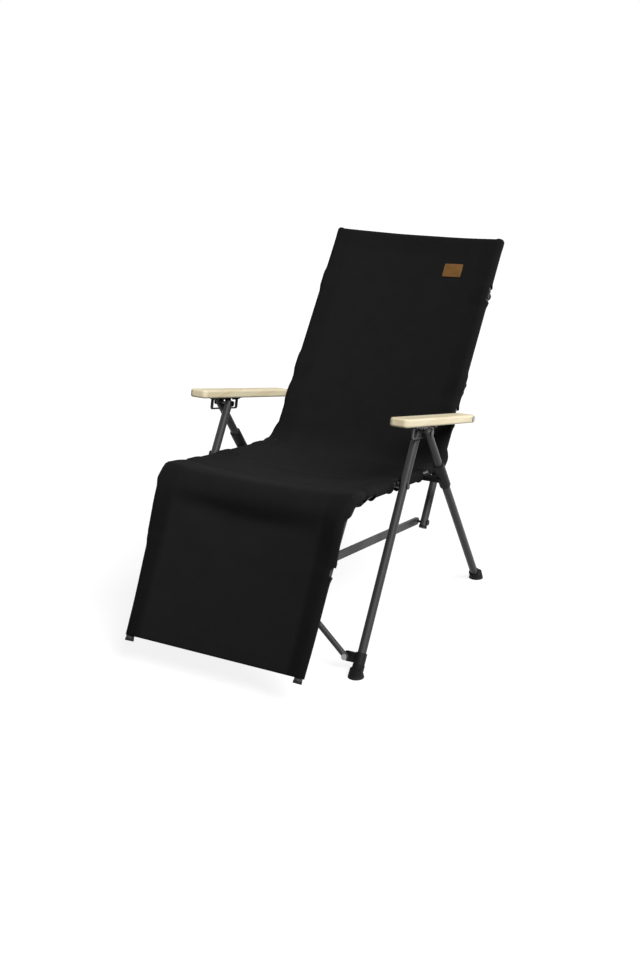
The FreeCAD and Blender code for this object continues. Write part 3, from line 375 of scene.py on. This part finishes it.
def canvas(settings, end, knee):
    """Plain-woven canvas with sewn sleeves, sewn hems, a soft mottle, and painted shade in the seam grooves,
    along the sleeves and towards the foot end.
    """
    material, nodes = new_material("black canvas")
    spread = nodes.make("ShaderNodeUVMap", {"uv_map": "cloth"})
    across, along, _ = nodes.split(spread)
    turns = math.tau / settings.thread
    weave = (across * turns).sine() * (along * turns).sine()
    drawn_out = nodes.make("ShaderNodeMapping", inputs={"Vector": spread, "Scale": (900.0, 60.0, 1.0)})
    slub = nodes.noise(drawn_out, scale=1.0)
    mottle = nodes.noise(spread, scale=16.0, detail=4.0)
    edge = RAIL_X - settings.seam
    thread_edge = (0.0006, 0.0014)
    groove_edge = (0.001, 0.005)
    seam_line = (across.size() - edge).size()
    hem_line = (along - settings.hem).size().math("MINIMUM", (along - end + settings.hem).size())

    def sewn(line, way):
        """Dashes of thread on a line, along a way."""
        dashes = (way * (math.tau / settings.stitch)).sine().rise(-0.5, 0.1)
        return (1.0 - line.rise(*thread_edge)) * dashes

    stitches = sewn(seam_line, along) + sewn(hem_line, across)
    groove = (1.0 - seam_line.rise(*groove_edge)) + (1.0 - hem_line.rise(*groove_edge))
    woven = weave * 0.16 + (slub - 0.5) * 0.5 + (mottle - 0.5) * 0.7
    # Painted shade: the canvas is darker in the grooves of the seams and hems, which the bump also sinks.
    lightness = 0.42 + woven + stitches * 0.5 - groove * 0.12
    # Painted shade: the sleeves are darker, more so below the knee, and the canvas darkens towards the foot
    # end.
    below_knee = along.rise(knee, knee + 0.12)
    sleeves = across.size().rise(edge - 0.01, edge + 0.01) * (0.3 + below_knee * 0.7)
    shade = sleeves * 0.4 + along.rise(end - 0.15, end) * 0.15
    black = (0.0, 0.0, 0.0)
    tone = nodes.mix(shade, nodes.mix(lightness, settings.dark, settings.light), black)
    height = weave * 0.35 + slub * 0.35 + stitches * 1.6 - groove * 1.2
    nodes.surface(
        {
            "Base Color": tone,
            "Roughness": 0.86 + (mottle - 0.5) * 0.12,
            "Specular IOR Level": 0.05,
            "Normal": nodes.bump(height, distance=0.00028, strength=0.7),
        }
    )
    return material


def patch_leather(settings):
    """Tan leather with pores, creases and darker clouds."""
    material, nodes = new_material("patch leather")
    place = nodes.place()
    cells = nodes.make("ShaderNodeTexVoronoi", inputs={"Vector": place, "Scale": 900.0})
    cloudy = nodes.noise(place, scale=70.0, detail=4.0)
    crease = nodes.noise(place, scale=260.0, detail=5.0)
    dark = cloudy.rise(0.35, 0.7) * 0.6 + crease.rise(0.55, 0.75) * 0.25
    tone = nodes.mix(dark, settings.leather, toned(settings.leather, 0.55))
    nodes.surface(
        {
            "Base Color": tone,
            "Roughness": 0.5 + crease * 0.2,
            "Specular IOR Level": 0.3,
            "Normal": nodes.bump(cells + crease * 0.6, distance=0.00025, strength=0.6),
        }
    )
    return material


def patch_thread(settings):
    """Waxed thread of the patch."""
    material, nodes = new_material("patch thread")
    twist = nodes.noise(nodes.place(), scale=2200.0, detail=2.0)
    tone = nodes.mix(twist, settings.thread, toned(settings.thread, 0.6))
    nodes.surface(
        {
            "Base Color": tone,
            "Roughness": 0.55 + twist * 0.2,
            "Normal": nodes.bump(twist, distance=0.0001, strength=0.6),
        }
    )
    return material


def dress(names, material):
    """Give CAD nodes a finish."""
    for name in names:
        piece = frame["nodes"][name]
        for slot in piece.material_slots:
            slot.material = material


def both(*names):
    """Node names of both sides."""
    return [f"{name}_{side}" for name in names for side in SIDES]


def new_piece(name, shape, material):
    """Object at the origin from a bmesh."""
    mesh = bpy.data.meshes.new(name)
    shape.to_mesh(mesh)
    shape.free()
    mesh.materials.append(material)
    for face in mesh.polygons:
        face.use_smooth = True
    piece = bpy.data.objects.new(name, mesh)
    bpy.context.scene.collection.objects.link(piece)
    return piece


# Line of the sling


def above(along):
    """Direction square to a run, on the sitter's side."""
    return Vector((-along.y, along.x))


class Row:
    """One row of the sling: its place over the rails, and in the middle where that is set.

    hem counts the mesh columns that are left of its sleeve, radius is the sleeve's, raised is its lift over a
    fitting, and half is the distance from the middle to the sleeve.
    """

    def __init__(self, point, upward, hem, radius, raised=0.0, half=RAIL_X, middle=None):
        self.point = point
        self.upward = upward
        self.hem = hem
        self.radius = radius
        self.raised = raised
        self.half = half
        self.middle = middle
        self.distance = 0.0


def run_place(node, pivot, along):
    """Distance of a fitting from a hinge along a tube."""
    return (middle_of(node).yz - pivot).dot(along)


def run_spot(pivot, along, distance, lift):
    """Point at a distance from a hinge along a tube, lifted off its axis."""
    return pivot + along * distance + above(along) * lift


def eased(stops, distance):
    """Value between stops of distance and value, with soft changes."""
    for (start, first), (end, last) in zip(stops, stops[1:]):
        if distance <= end:
            share = min(max((distance - start) / (end - start), 0.0), 1.0)
            return first + (last - first) * share * share * (3 - 2 * share)
    return stops[-1][1]


def faded(value, run, distance):
    """Value up to the start of a run, which fades to nothing at its end."""
    start, end = run
    return eased([(start, value), (end, 0.0)], distance)


class SlingLine:
    """Side view of the sling, from the head to the foot, in even rows."""

    # Mesh columns that are left of a sleeve: all, and those at pins, at clamps and over forks
    full_hem = 12
    fitting_hem = 2
    clamp_hem = 4
    corner_hem = 5

    # Distances over which the canvas comes down from a fitting, from the head caps and from a fork
    fitting_run = (0.016, 0.038)
    cap_run = (0.012, 0.03)
    fork_run = (0.034, 0.062)

    # Distances from the hinges at which the bends meet the straight runs
    corner_back = 0.055
    corner_seat = 0.08
    knee_seat = 0.075
    knee_rest = 0.16

    # Distances from the knee of the end of the slack and of the sleeve's cut at the link pin
    slack_end = 0.34
    link_cut = 0.15

    # Rows between two guides of a bend
    segment = 6

    def __init__(self, settings):
        self.settings = settings
        self.rows = []
        bolt, low, high = (
            run_place(name, BACK_HINGE, BACK_UP)
            for name in ("armrest_bolt_right", "back_clamp_low_right", "back_clamp_high_right")
        )
        pin = run_place("seat_pin_right", KNEE, SEAT_REAR)
        hanger = run_place("brace_hanger_right", KNEE, SEAT_REAR)
        seat = (BACK_HINGE - KNEE).length
        back_hems = {bolt: self.fitting_hem, low: self.clamp_hem, high: self.fitting_hem}
        back_ends = (settings.back, self.corner_back)
        self.straight(BACK_HINGE, BACK_UP, back_ends, back_hems, cap=settings.cap_lift)
        self.corner()
        seat_hems = dict.fromkeys((pin, seat - settings.saddle), self.fitting_hem)
        seat_hems[hanger] = self.clamp_hem
        seat_ends = (seat - self.corner_seat, self.knee_seat)
        self.straight(KNEE, SEAT_REAR, seat_ends, seat_hems)
        self.knee()
        rest_hems = {-self.link_cut: self.fitting_hem}
        rest_ends = (-self.knee_rest, -settings.rest)
        toe = settings.toe / settings.rest
        self.straight(KNEE, REST_UP, rest_ends, rest_hems, slack=settings.slack, toe=toe)
        for before, row in zip(self.rows, self.rows[1:]):
            row.distance = before.distance + (row.point - before.point).length
        self.length = self.rows[-1].distance

    def straight(self, pivot, along, ends, fittings, slack=0.0, toe=0.0, cap=0.0):
        """Rows on a tube, raised and cut at its fittings, and raised over a cap at the start."""
        start, end = ends
        lift = self.settings.lift
        slack_run = (self.knee_rest, self.slack_end)
        count = max(1, round(abs(end - start) / self.settings.step))
        for index in range(count + 1):
            distance = start + (end - start) * index / count
            fitting = min(fittings, key=lambda place: abs(distance - place))
            nearest = abs(distance - fitting)
            raised = faded(self.settings.fitting_lift, self.fitting_run, nearest)
            raised += faded(cap, self.cap_run, abs(distance - start))
            point = run_spot(pivot, along, distance, lift + faded(slack, slack_run, abs(distance)))
            hem = self.full_hem if nearest > self.settings.fitting_gap else fittings[fitting]
            half = RAIL_X - toe * abs(distance)
            self.rows.append(Row(point, above(along), hem, lift + raised, raised, half))

    def smooth(self, guides):
        """Points through the inner guides, which the outer two only steer."""
        points = [guides[1]]
        for before, start, end, after in zip(guides, guides[1:], guides[2:], guides[3:]):
            corners = (start, start + (end - before) / 6, end - (after - start) / 6, end)
            run = interpolate_bezier(*(corner.to_3d() for corner in corners), self.segment + 1)
            points += [point.xy for point in run[1:]]
        return points

    def loose(self, pivot, guides, middles=None):
        """Rows off the tubes, with a wide hem over the fork at a pivot."""
        points = self.smooth(guides)
        inner = self.smooth(middles) if middles else [None] * len(points)
        corner = self.settings.corner - self.settings.shelf
        for before, point, after, middle in zip(points, points[1:], points[2:], inner[1:]):
            way = (after - before).normalized()
            upward = Vector((way.y, -way.x))
            wide = faded(1.0, self.fork_run, (point - pivot).length)
            radius = self.settings.lift + (corner - self.settings.lift) * wide
            half = RAIL_X + self.settings.shelf * wide
            self.rows.append(Row(point, upward, self.corner_hem, radius, half=half, middle=middle))

    def corner(self):
        """Turn from the back to the seat over the back fork, through guides of distance and lift."""
        base = self.settings.lift
        seat = (BACK_HINGE - KNEE).length
        back_side = ((0.09, base), (self.corner_back, base), (0.024, 0.0145))
        seat_side = ((0.022, 0.0165), (0.048, 0.0152), (self.corner_seat, base), (0.11, base))
        guides = [run_spot(BACK_HINGE, BACK_UP, distance, lift) for distance, lift in back_side]
        guides += [run_spot(KNEE, SEAT_REAR, seat - distance, lift) for distance, lift in seat_side]
        self.loose(BACK_HINGE, guides)

    def knee(self):
        """Roll from the knee fork to the leg rest's sleeves, through guides for its edges and middle."""
        base = self.settings.lift
        bulge = self.settings.knee_bulge
        low = base + self.settings.slack
        rest_ends = (-self.knee_rest, -0.2)
        seat_side = ((0.105, base), (self.knee_seat, base), (0.046, 0.0146), (0.02, 0.0154), (-0.004, 0.0148))
        rest_side = ((-0.012, 0.73), (-0.04, 1.0), (-0.075, 0.97), (-0.115, 0.77))
        guides = [run_spot(KNEE, SEAT_REAR, distance, lift) for distance, lift in seat_side]
        guides += [run_spot(KNEE, REST_UP, distance, bulge * share) for distance, share in rest_side]
        guides += [run_spot(KNEE, REST_UP, distance, low) for distance in rest_ends]
        front = base - self.settings.front_dip
        foot = low - self.settings.rest_dip
        roll = self.settings.roll
        centre = run_spot(KNEE, SEAT_REAR, 0.006, 0.004 - roll)
        seat_middle = ((0.105, front), (self.knee_seat, front + 0.003), (0.04, front + 0.009))
        rest_middle = ((-0.082, -0.006), (-0.12, 0.0))
        middles = [run_spot(KNEE, SEAT_REAR, distance, lift) for distance, lift in seat_middle]
        for turn in (5.0, 35.0, 65.0, 95.0):
            middles.append(centre + Matrix.Rotation(math.radians(turn), 2) @ above(SEAT_REAR) * roll)
        middles += [run_spot(KNEE, REST_UP, distance, lift) for distance, lift in rest_middle]
        middles += [run_spot(KNEE, REST_UP, distance, foot) for distance in rest_ends]
        self.loose(KNEE, guides, middles)


def bell(value, middle, width):
    """Smooth bump of height 1."""
    return math.exp(-(((value - middle) / width) ** 2))


def run_length(points):
    """Length of a line through points."""
    return sum((after - before).length for before, after in zip(points, points[1:]))


class SlingCloth:
    """Surface of the sling over its line."""

    # Mesh columns from the middle to a rail, and round a sleeve
    side = 36
    wrap = SlingLine.full_hem

    # Angle of a whole sleeve, and its depth below the tube in radii
    wrapped = math.radians(300.0)
    droop = 1.5

    # Distances along the sling over which its dip changes
    head_run = 0.06
    back_run = 0.45
    front_run = 0.1
    rest_run = 0.12
    foot_run = 0.08

    # Heights of the roll's crest, of two dips and of the folds
    crest_lift = 0.02
    corner_dip = 0.021
    foot_dip = 0.005
    crease_height = 0.002
    uneven_height = 0.0016
    wrinkle_height = 0.003

    def __init__(self, settings):
        self.settings = settings
        self.line = SlingLine(settings)
        crest = KNEE + (above(SEAT_REAR) + above(REST_UP)) * self.crest_lift
        self.knee = min(self.line.rows, key=lambda row: (row.point - crest).length).distance
        self.corner = min(self.line.rows, key=lambda row: (row.point - BACK_HINGE).length).distance
        self.seat = (self.corner + self.knee) / 2
        end = self.line.length
        self.stops = [
            (0.0, settings.head_dip),
            (self.head_run, settings.back_dip),
            (self.back_run, settings.back_dip),
            (self.corner, self.corner_dip),
            (self.seat, settings.seat_dip),
            (self.knee - self.front_run, settings.front_dip),
            (self.knee + self.rest_run, settings.rest_dip),
            (end - self.foot_run, settings.rest_dip),
            (end, self.foot_dip),
        ]

    def spot(self, row, x):
        """Point of the sheet at a distance across."""
        aside = (x / row.half) ** 2
        middle = row.middle
        if middle is None:
            middle = row.point - row.upward * eased(self.stops, row.distance)
        loose = self.crease(row, x) + self.uneven(row, x)
        rise = row.raised * aside**4 + loose * (1 - aside) + self.wrinkle(row, x)
        side = middle + (row.point - middle) * aside + row.upward * rise
        return Vector((x, side.x, side.y))

    def crease(self, row, x):
        """Slanting, wavy fold below the knee."""
        below = row.distance - self.knee
        return self.crease_height * bell(below, 0.07 - 0.03 * x, 0.014) * math.sin(x * 19.0 + 0.7)

    def uneven(self, row, x):
        """Slow unevenness of the whole cloth."""
        return self.uneven_height * noise.noise(Vector((x * 9.0, row.distance * 7.0, 0.3)))

    def wrinkle(self, row, x):
        """Small folds across the corner between back and seat."""
        height = self.wrinkle_height * bell(row.distance, self.corner + 0.02, 0.045)
        return height * noise.noise(Vector((x * 10.0, row.distance * 28.0, 1.7)))

    def sleeve_spot(self, row, sign, angle):
        """Point of the sleeve, which hangs a little below its tube."""
        axis = row.point + row.upward * (row.raised - row.radius)
        rise = math.cos(angle) * (1.0 if math.cos(angle) > 0 else self.droop)
        side = axis + row.upward * row.radius * rise
        return Vector((sign * (row.half + row.radius * math.sin(angle)), side.x, side.y))

    def build(self, first, last):
        """Bmesh of the rows from first to last with its cloth map, and its flat width and area."""
        rows = self.line.rows[first : last + 1]
        columns = 2 * (self.side + self.wrap)
        shape = bmesh.new()
        cloth = shape.loops.layers.uv.new("cloth")
        bmesh.ops.create_grid(shape, x_segments=columns, y_segments=len(rows) - 1, size=1.0, calc_uvs=False)
        flat = {}
        place = {}
        for vert in shape.verts:
            column = round((vert.co.x + 1) / 2 * columns) - columns // 2
            row = rows[round((1 - vert.co.y) / 2 * (len(rows) - 1))]
            place[vert] = (column, row)
            sign = math.copysign(1.0, column)
            beyond = (abs(column) - self.side) / self.wrap
            if beyond <= 0:
                x = sign * (abs(column) / self.side) * row.half
                vert.co = self.spot(row, x)
            else:
                x = sign * (row.half + beyond * self.wrapped * self.settings.lift)
                vert.co = self.sleeve_spot(row, sign, beyond * self.wrapped)
            flat[vert] = (x, row.distance)
        beyond_hem = {vert for vert, (column, row) in place.items() if abs(column) > self.side + row.hem}
        cut = [face for face in shape.faces if beyond_hem.intersection(face.verts)]
        bmesh.ops.delete(shape, geom=cut, context="FACES")
        area = 0.0
        for face in shape.faces:
            for loop in face.loops:
                loop[cloth].uv = flat[loop.vert]
            area += face.calc_area()
        bmesh.ops.recalc_face_normals(shape, faces=shape.faces)
        return shape, max(self.width(row) for row in rows), area

    def width(self, row):
        """Length of a row across, with its sleeves laid open."""
        steps = range(-self.side, self.side + 1)
        spots = [self.spot(row, row.half * step / self.side) for step in steps]
        wraps = [self.sleeve_spot(row, 1.0, self.wrapped * step / self.wrap) for step in range(row.hem + 1)]
        return run_length(spots) + 2 * run_length(wraps)


# Pieces


class LOUNGER_OT_frame(bpy.types.Operator):
    """Finish the tubes, flat bars and recline plates"""

    bl_idname = "lounger.frame"
    bl_label = "Tubes and bars"

    def execute(self, context):
        material = satin_tube(context.scene.lounger_finish)
        dress(both("front_leg", "rear_leg", "seat_rail", "back_tube", "leg_rest_tube"), material)
        dress(both("front_brace", "back_brace", "link", "recline_plate"), material)
        return {"FINISHED"}


class LOUNGER_OT_fittings(bpy.types.Operator):
    """Finish the moulded fittings, the rubber feet and the steel pins"""

    bl_idname = "lounger.fittings"
    bl_label = "Fittings, feet and pins"

    def execute(self, context):
        settings = context.scene.lounger_finish
        moulded = both("knee_fork", "back_fork", "rear_bracket", "brace_collar", "brace_hanger")
        moulded += both("back_clamp_low", "back_clamp_high") + ["back_tube_caps", "leg_rest_caps"]
        dress(moulded, moulded_plastic(settings))
        dress(both("front_foot", "rear_foot"), foot_rubber(settings))
        pins = both("apex_pin", "seat_pin", "plate_screws")
        pins += ["knee_hinge_pins", "back_hinge_pins", "back_link_pins", "leg_rest_link_pins"]
        dress(pins, pin_steel("burnished steel", settings.burnished))
        bright = both("armrest_bolt") + ["brace_rivets", "back_brace_rivets"]
        dress(bright, pin_steel("pin steel", settings.steel))
        return {"FINISHED"}


class LOUNGER_OT_armrests(bpy.types.Operator):
    """Finish the wooden armrests"""

    bl_idname = "lounger.armrests"
    bl_label = "Armrests"

    def execute(self, context):
        dress(both("armrest"), pale_wood(context.scene.lounger_finish))
        return {"FINISHED"}


class LOUNGER_OT_sling(bpy.types.Operator):
    """Make the canvas sling in two parts, split in the middle of the seat: an upper one over the back's hinge
    and a lower one over the knee
    """

    bl_idname = "lounger.sling"
    bl_label = "Sling"

    # Distances from the hinges that bound each part's bend, though no part is made to bend here
    seat_bend = 0.05
    back_bend = 0.04
    knee_bend = 0.035

    def execute(self, context):
        settings = context.scene.lounger_sling
        sling = SlingCloth(settings)
        rows = sling.line.rows
        material = canvas(settings, sling.line.length, sling.knee)
        middle = min(range(len(rows)), key=lambda index: abs(rows[index].distance - sling.seat))
        upper_bend = (BACK_HINGE - SEAT_REAR * self.seat_bend, BACK_HINGE + BACK_UP * self.back_bend)
        lower_bend = (KNEE + SEAT_REAR * self.knee_bend, KNEE - REST_UP * self.knee_bend)
        parts = (
            ("sling_upper", 0, middle, "back", upper_bend, ["back_sling", "seat_sling"]),
            ("sling_lower", middle, len(rows) - 1, "leg_rest", lower_bend, ["leg_rest_sling"]),
        )
        for name, first, last, body, ends, replaced in parts:
            shape, width, area = sling.build(first, last)
            piece = new_piece(name, shape, material)
            thick = piece.modifiers.new("thickness", "SOLIDIFY")
            thick.thickness = settings.thickness
            thick.offset = 0.0
            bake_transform(piece)
            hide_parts(*replaced)
            run = rows[last].distance - rows[first].distance
        return {"FINISHED"}


class LOUNGER_OT_patch(bpy.types.Operator):
    """Make the stitched leather patch, left bare"""

    bl_idname = "lounger.patch"
    bl_label = "Patch"

    # Sizes of the leather, and its lean with the dip of the canvas
    width = 0.053
    height = 0.038
    thickness = 0.0016
    corner = 0.004
    rim = 0.0005
    tilt = math.radians(-4.49)

    # Stitches: their distance from the edge, length, pitch in lengths, half sizes and lift
    inset = 0.0032
    stitch = 0.0032
    pitch = 1.35
    thread_width = 0.00042
    thread_height = 0.0004
    thread_lift = 0.0001

    def execute(self, context):
        settings = context.scene.lounger_finish
        place = self.place()
        patch = new_piece("patch_bare", self.plate(place), patch_leather(settings))
        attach(patch, "back")
        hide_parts("leather_patch")
        row = new_piece("patch_stitches", self.threads(place), patch_thread(settings))
        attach(row, "back")
        return {"FINISHED"}

    def place(self):
        """Matrix that lays the patch on the dipping canvas."""
        upward = Vector((0.0, *above(BACK_UP)))
        along = Vector((0.0, *BACK_UP))
        seat = Matrix((Vector((1, 0, 0)), along, upward)).transposed().to_4x4()
        centre = Matrix.Translation(middle_of("leather_patch"))
        return centre @ seat @ Matrix.Rotation(self.tilt, 4, "Y")

    def plate(self, place):
        """Leather with round corners and a soft rim."""
        soft = {"profile": 0.5, "material": -1}
        shape = bmesh.new()
        bmesh.ops.create_grid(shape, x_segments=1, y_segments=1, size=0.5)
        bmesh.ops.scale(shape, vec=(self.width, self.height, 1.0), verts=shape.verts)
        corners = shape.verts[:]
        bmesh.ops.bevel(shape, geom=corners, offset=self.corner, segments=5, affect="VERTICES", **soft)
        lifted = bmesh.ops.extrude_face_region(shape, geom=shape.faces[:])
        top = [item for item in lifted["geom"] if isinstance(item, bmesh.types.BMVert)]
        bmesh.ops.translate(shape, vec=(0, 0, self.thickness), verts=top)
        rim = [edge for edge in shape.edges if all(vert in top for vert in edge.verts)]
        bmesh.ops.bevel(shape, geom=rim, offset=self.rim, segments=3, affect="EDGES", **soft)
        bmesh.ops.translate(shape, vec=(0, 0, -self.thickness / 2), verts=shape.verts)
        bmesh.ops.recalc_face_normals(shape, faces=shape.faces)
        bmesh.ops.transform(shape, matrix=place, verts=shape.verts)
        return shape

    def threads(self, place):
        """Row of stitches inside the patch's edge."""
        shape = bmesh.new()
        half_x = self.width / 2 - self.inset
        half_y = self.height / 2 - self.inset
        lift = self.thickness / 2 + self.thread_lift
        size = Matrix.Diagonal((self.stitch / 2, self.thread_width, self.thread_height, 1.0))
        for (x, y), run, turn in (
            ((0.0, half_y), half_x, 0.0),
            ((0.0, -half_y), half_x, 0.0),
            ((half_x, 0.0), half_y, math.pi / 2),
            ((-half_x, 0.0), half_y, math.pi / 2),
        ):
            count = int(2 * run / (self.stitch * self.pitch))
            for index in range(count):
                slide = (index + 0.5) / count * 2 * run - run
                middle = Vector((x + slide * math.cos(turn), y + slide * math.sin(turn), lift))
                matrix = place @ Matrix.Translation(middle) @ Matrix.Rotation(turn, 4, "Z") @ size
                bmesh.ops.create_uvsphere(shape, u_segments=8, v_segments=5, radius=1.0, matrix=matrix)
        return shape


class LOUNGER_OT_stage(bpy.types.Operator):
    """Set the floor, the lights and the camera"""

    bl_idname = "lounger.stage"
    bl_label = "Stage"

    # Half width of the floor, its colours and its light towards the camera
    floor_size = 14.0
    floor_tones = (0.24, 0.26)
    floor_glow = 0.86
    white = (1.0, 1.0, 1.0, 1.0)

    # Places, sizes and common aim of the lamps
    key_place = (2.4, -1.1, 3.0)
    key_angle = math.radians(32.0)
    side_place = (1.7, 2.2, 0.4)
    side_size = 0.6
    fill_place = (-2.4, -2.2, 1.9)
    fill_size = 2.2
    aim = (0.0, 0.0, 0.4)

    def execute(self, context):
        settings = context.scene.lounger_stage
        self.floor()
        self.world(context.scene, settings.sky)
        self.lamp("SUN", "key light", self.key_place, settings.key).angle = self.key_angle
        self.lamp("AREA", "side light", self.side_place, settings.side).size = self.side_size
        self.lamp("AREA", "fill light", self.fill_place, settings.fill).size = self.fill_size
        self.camera(context.scene, settings)
        context.scene.view_settings.view_transform = "Standard"
        return {"FINISHED"}

    def floor(self):
        """White floor that keeps the shadow."""
        shape = bmesh.new()
        bmesh.ops.create_grid(shape, x_segments=1, y_segments=1, size=self.floor_size)
        mesh = bpy.data.meshes.new("floor")
        shape.to_mesh(mesh)
        shape.free()
        material, nodes = new_material("pale floor")
        grain = nodes.noise(nodes.place(), scale=6.0, detail=3.0)
        tone = nodes.mix(grain, *([level] * 3 for level in self.floor_tones))
        matte = nodes.make("ShaderNodeBsdfDiffuse", inputs={"Color": tone})
        level = nodes.shown() * self.floor_glow
        glow = nodes.make("ShaderNodeEmission", inputs={"Color": self.white, "Strength": level})
        lit = nodes.make("ShaderNodeAddShader", inputs={0: matte, 1: glow})
        nodes.make("ShaderNodeOutputMaterial", inputs={"Surface": lit})
        mesh.materials.append(material)
        floor = bpy.data.objects.new("floor", mesh)
        bpy.context.scene.collection.objects.link(floor)

    def world(self, scene, strength):
        """White to the camera, and a faint even light."""
        world = bpy.data.worlds.new("studio")
        world.use_nodes = True
        scene.world = world
        nodes = Nodes(world.node_tree)
        level = nodes.shown() * (1.0 - strength) + strength
        sky = nodes.make("ShaderNodeBackground", inputs={"Color": self.white, "Strength": level})
        nodes.make("ShaderNodeOutputWorld", inputs={"Surface": sky})

    def lamp(self, kind, name, place, energy):
        """Light from a place towards the lounger."""
        light = bpy.data.lights.new(name, kind)
        light.energy = energy
        lamp = bpy.data.objects.new(name, light)
        lamp.location = place
        way = Vector(self.aim) - Vector(place)
        lamp.rotation_euler = way.to_track_quat("-Z", "Y").to_euler()
        bpy.context.scene.collection.objects.link(lamp)
        return light

    def camera(self, scene, settings):
        """Camera of the photograph."""
        data = bpy.data.cameras.new("camera")
        data.sensor_fit = "VERTICAL"
        data.sensor_height = 36.0
        data.lens = settings.lens
        data.clip_end = 60.0
        camera = bpy.data.objects.new("camera", data)
        camera.location = settings.eye
        camera.rotation_euler = (math.pi / 2 - settings.tilt, 0.0, settings.turn)
        scene.collection.objects.link(camera)
        scene.camera = camera


class LOUNGER_PT_build(bpy.types.Panel):
    """List of the lounger's pieces and settings"""

    bl_idname = "LOUNGER_PT_build"
    bl_label = "Camp lounger"
    bl_space_type = "VIEW_3D"
    bl_region_type = "UI"
    bl_category = "Lounger"

    def draw(self, context):
        for operator in OPERATORS:
            self.layout.operator(operator.bl_idname)
        for group in SETTINGS:
            box = self.layout.box()
            settings = getattr(context.scene, group)
            for name in settings.bl_rna.properties.keys():
                if name not in ("rna_type", "name"):
                    box.prop(settings, name)


OPERATORS = (
    LOUNGER_OT_stage,
    LOUNGER_OT_frame,
    LOUNGER_OT_fittings,
    LOUNGER_OT_armrests,
    LOUNGER_OT_sling,
    LOUNGER_OT_patch,
)
SETTINGS = {"lounger_sling": SlingSettings, "lounger_finish": FinishSettings, "lounger_stage": StageSettings}


def register():
    """Register the settings, the operators and the panel."""
    for name, group in SETTINGS.items():
        bpy.utils.register_class(group)
        setattr(bpy.types.Scene, name, PointerProperty(type=group))
    for operator in OPERATORS:
        bpy.utils.register_class(operator)
    bpy.utils.register_class(LOUNGER_PT_build)


def unregister():
    """Undo register."""
    bpy.utils.unregister_class(LOUNGER_PT_build)
    for operator in reversed(OPERATORS):
        bpy.utils.unregister_class(operator)
    for name, group in SETTINGS.items():
        delattr(bpy.types.Scene, name)
        bpy.utils.unregister_class(group)


def main():
    """Build every piece in order."""
    register()
    bpy.ops.lounger.stage()
    bpy.ops.lounger.frame()
    bpy.ops.lounger.fittings()
    bpy.ops.lounger.armrests()
    bpy.ops.lounger.sling()
    bpy.ops.lounger.patch()


if __name__ == "__main__":
    main()
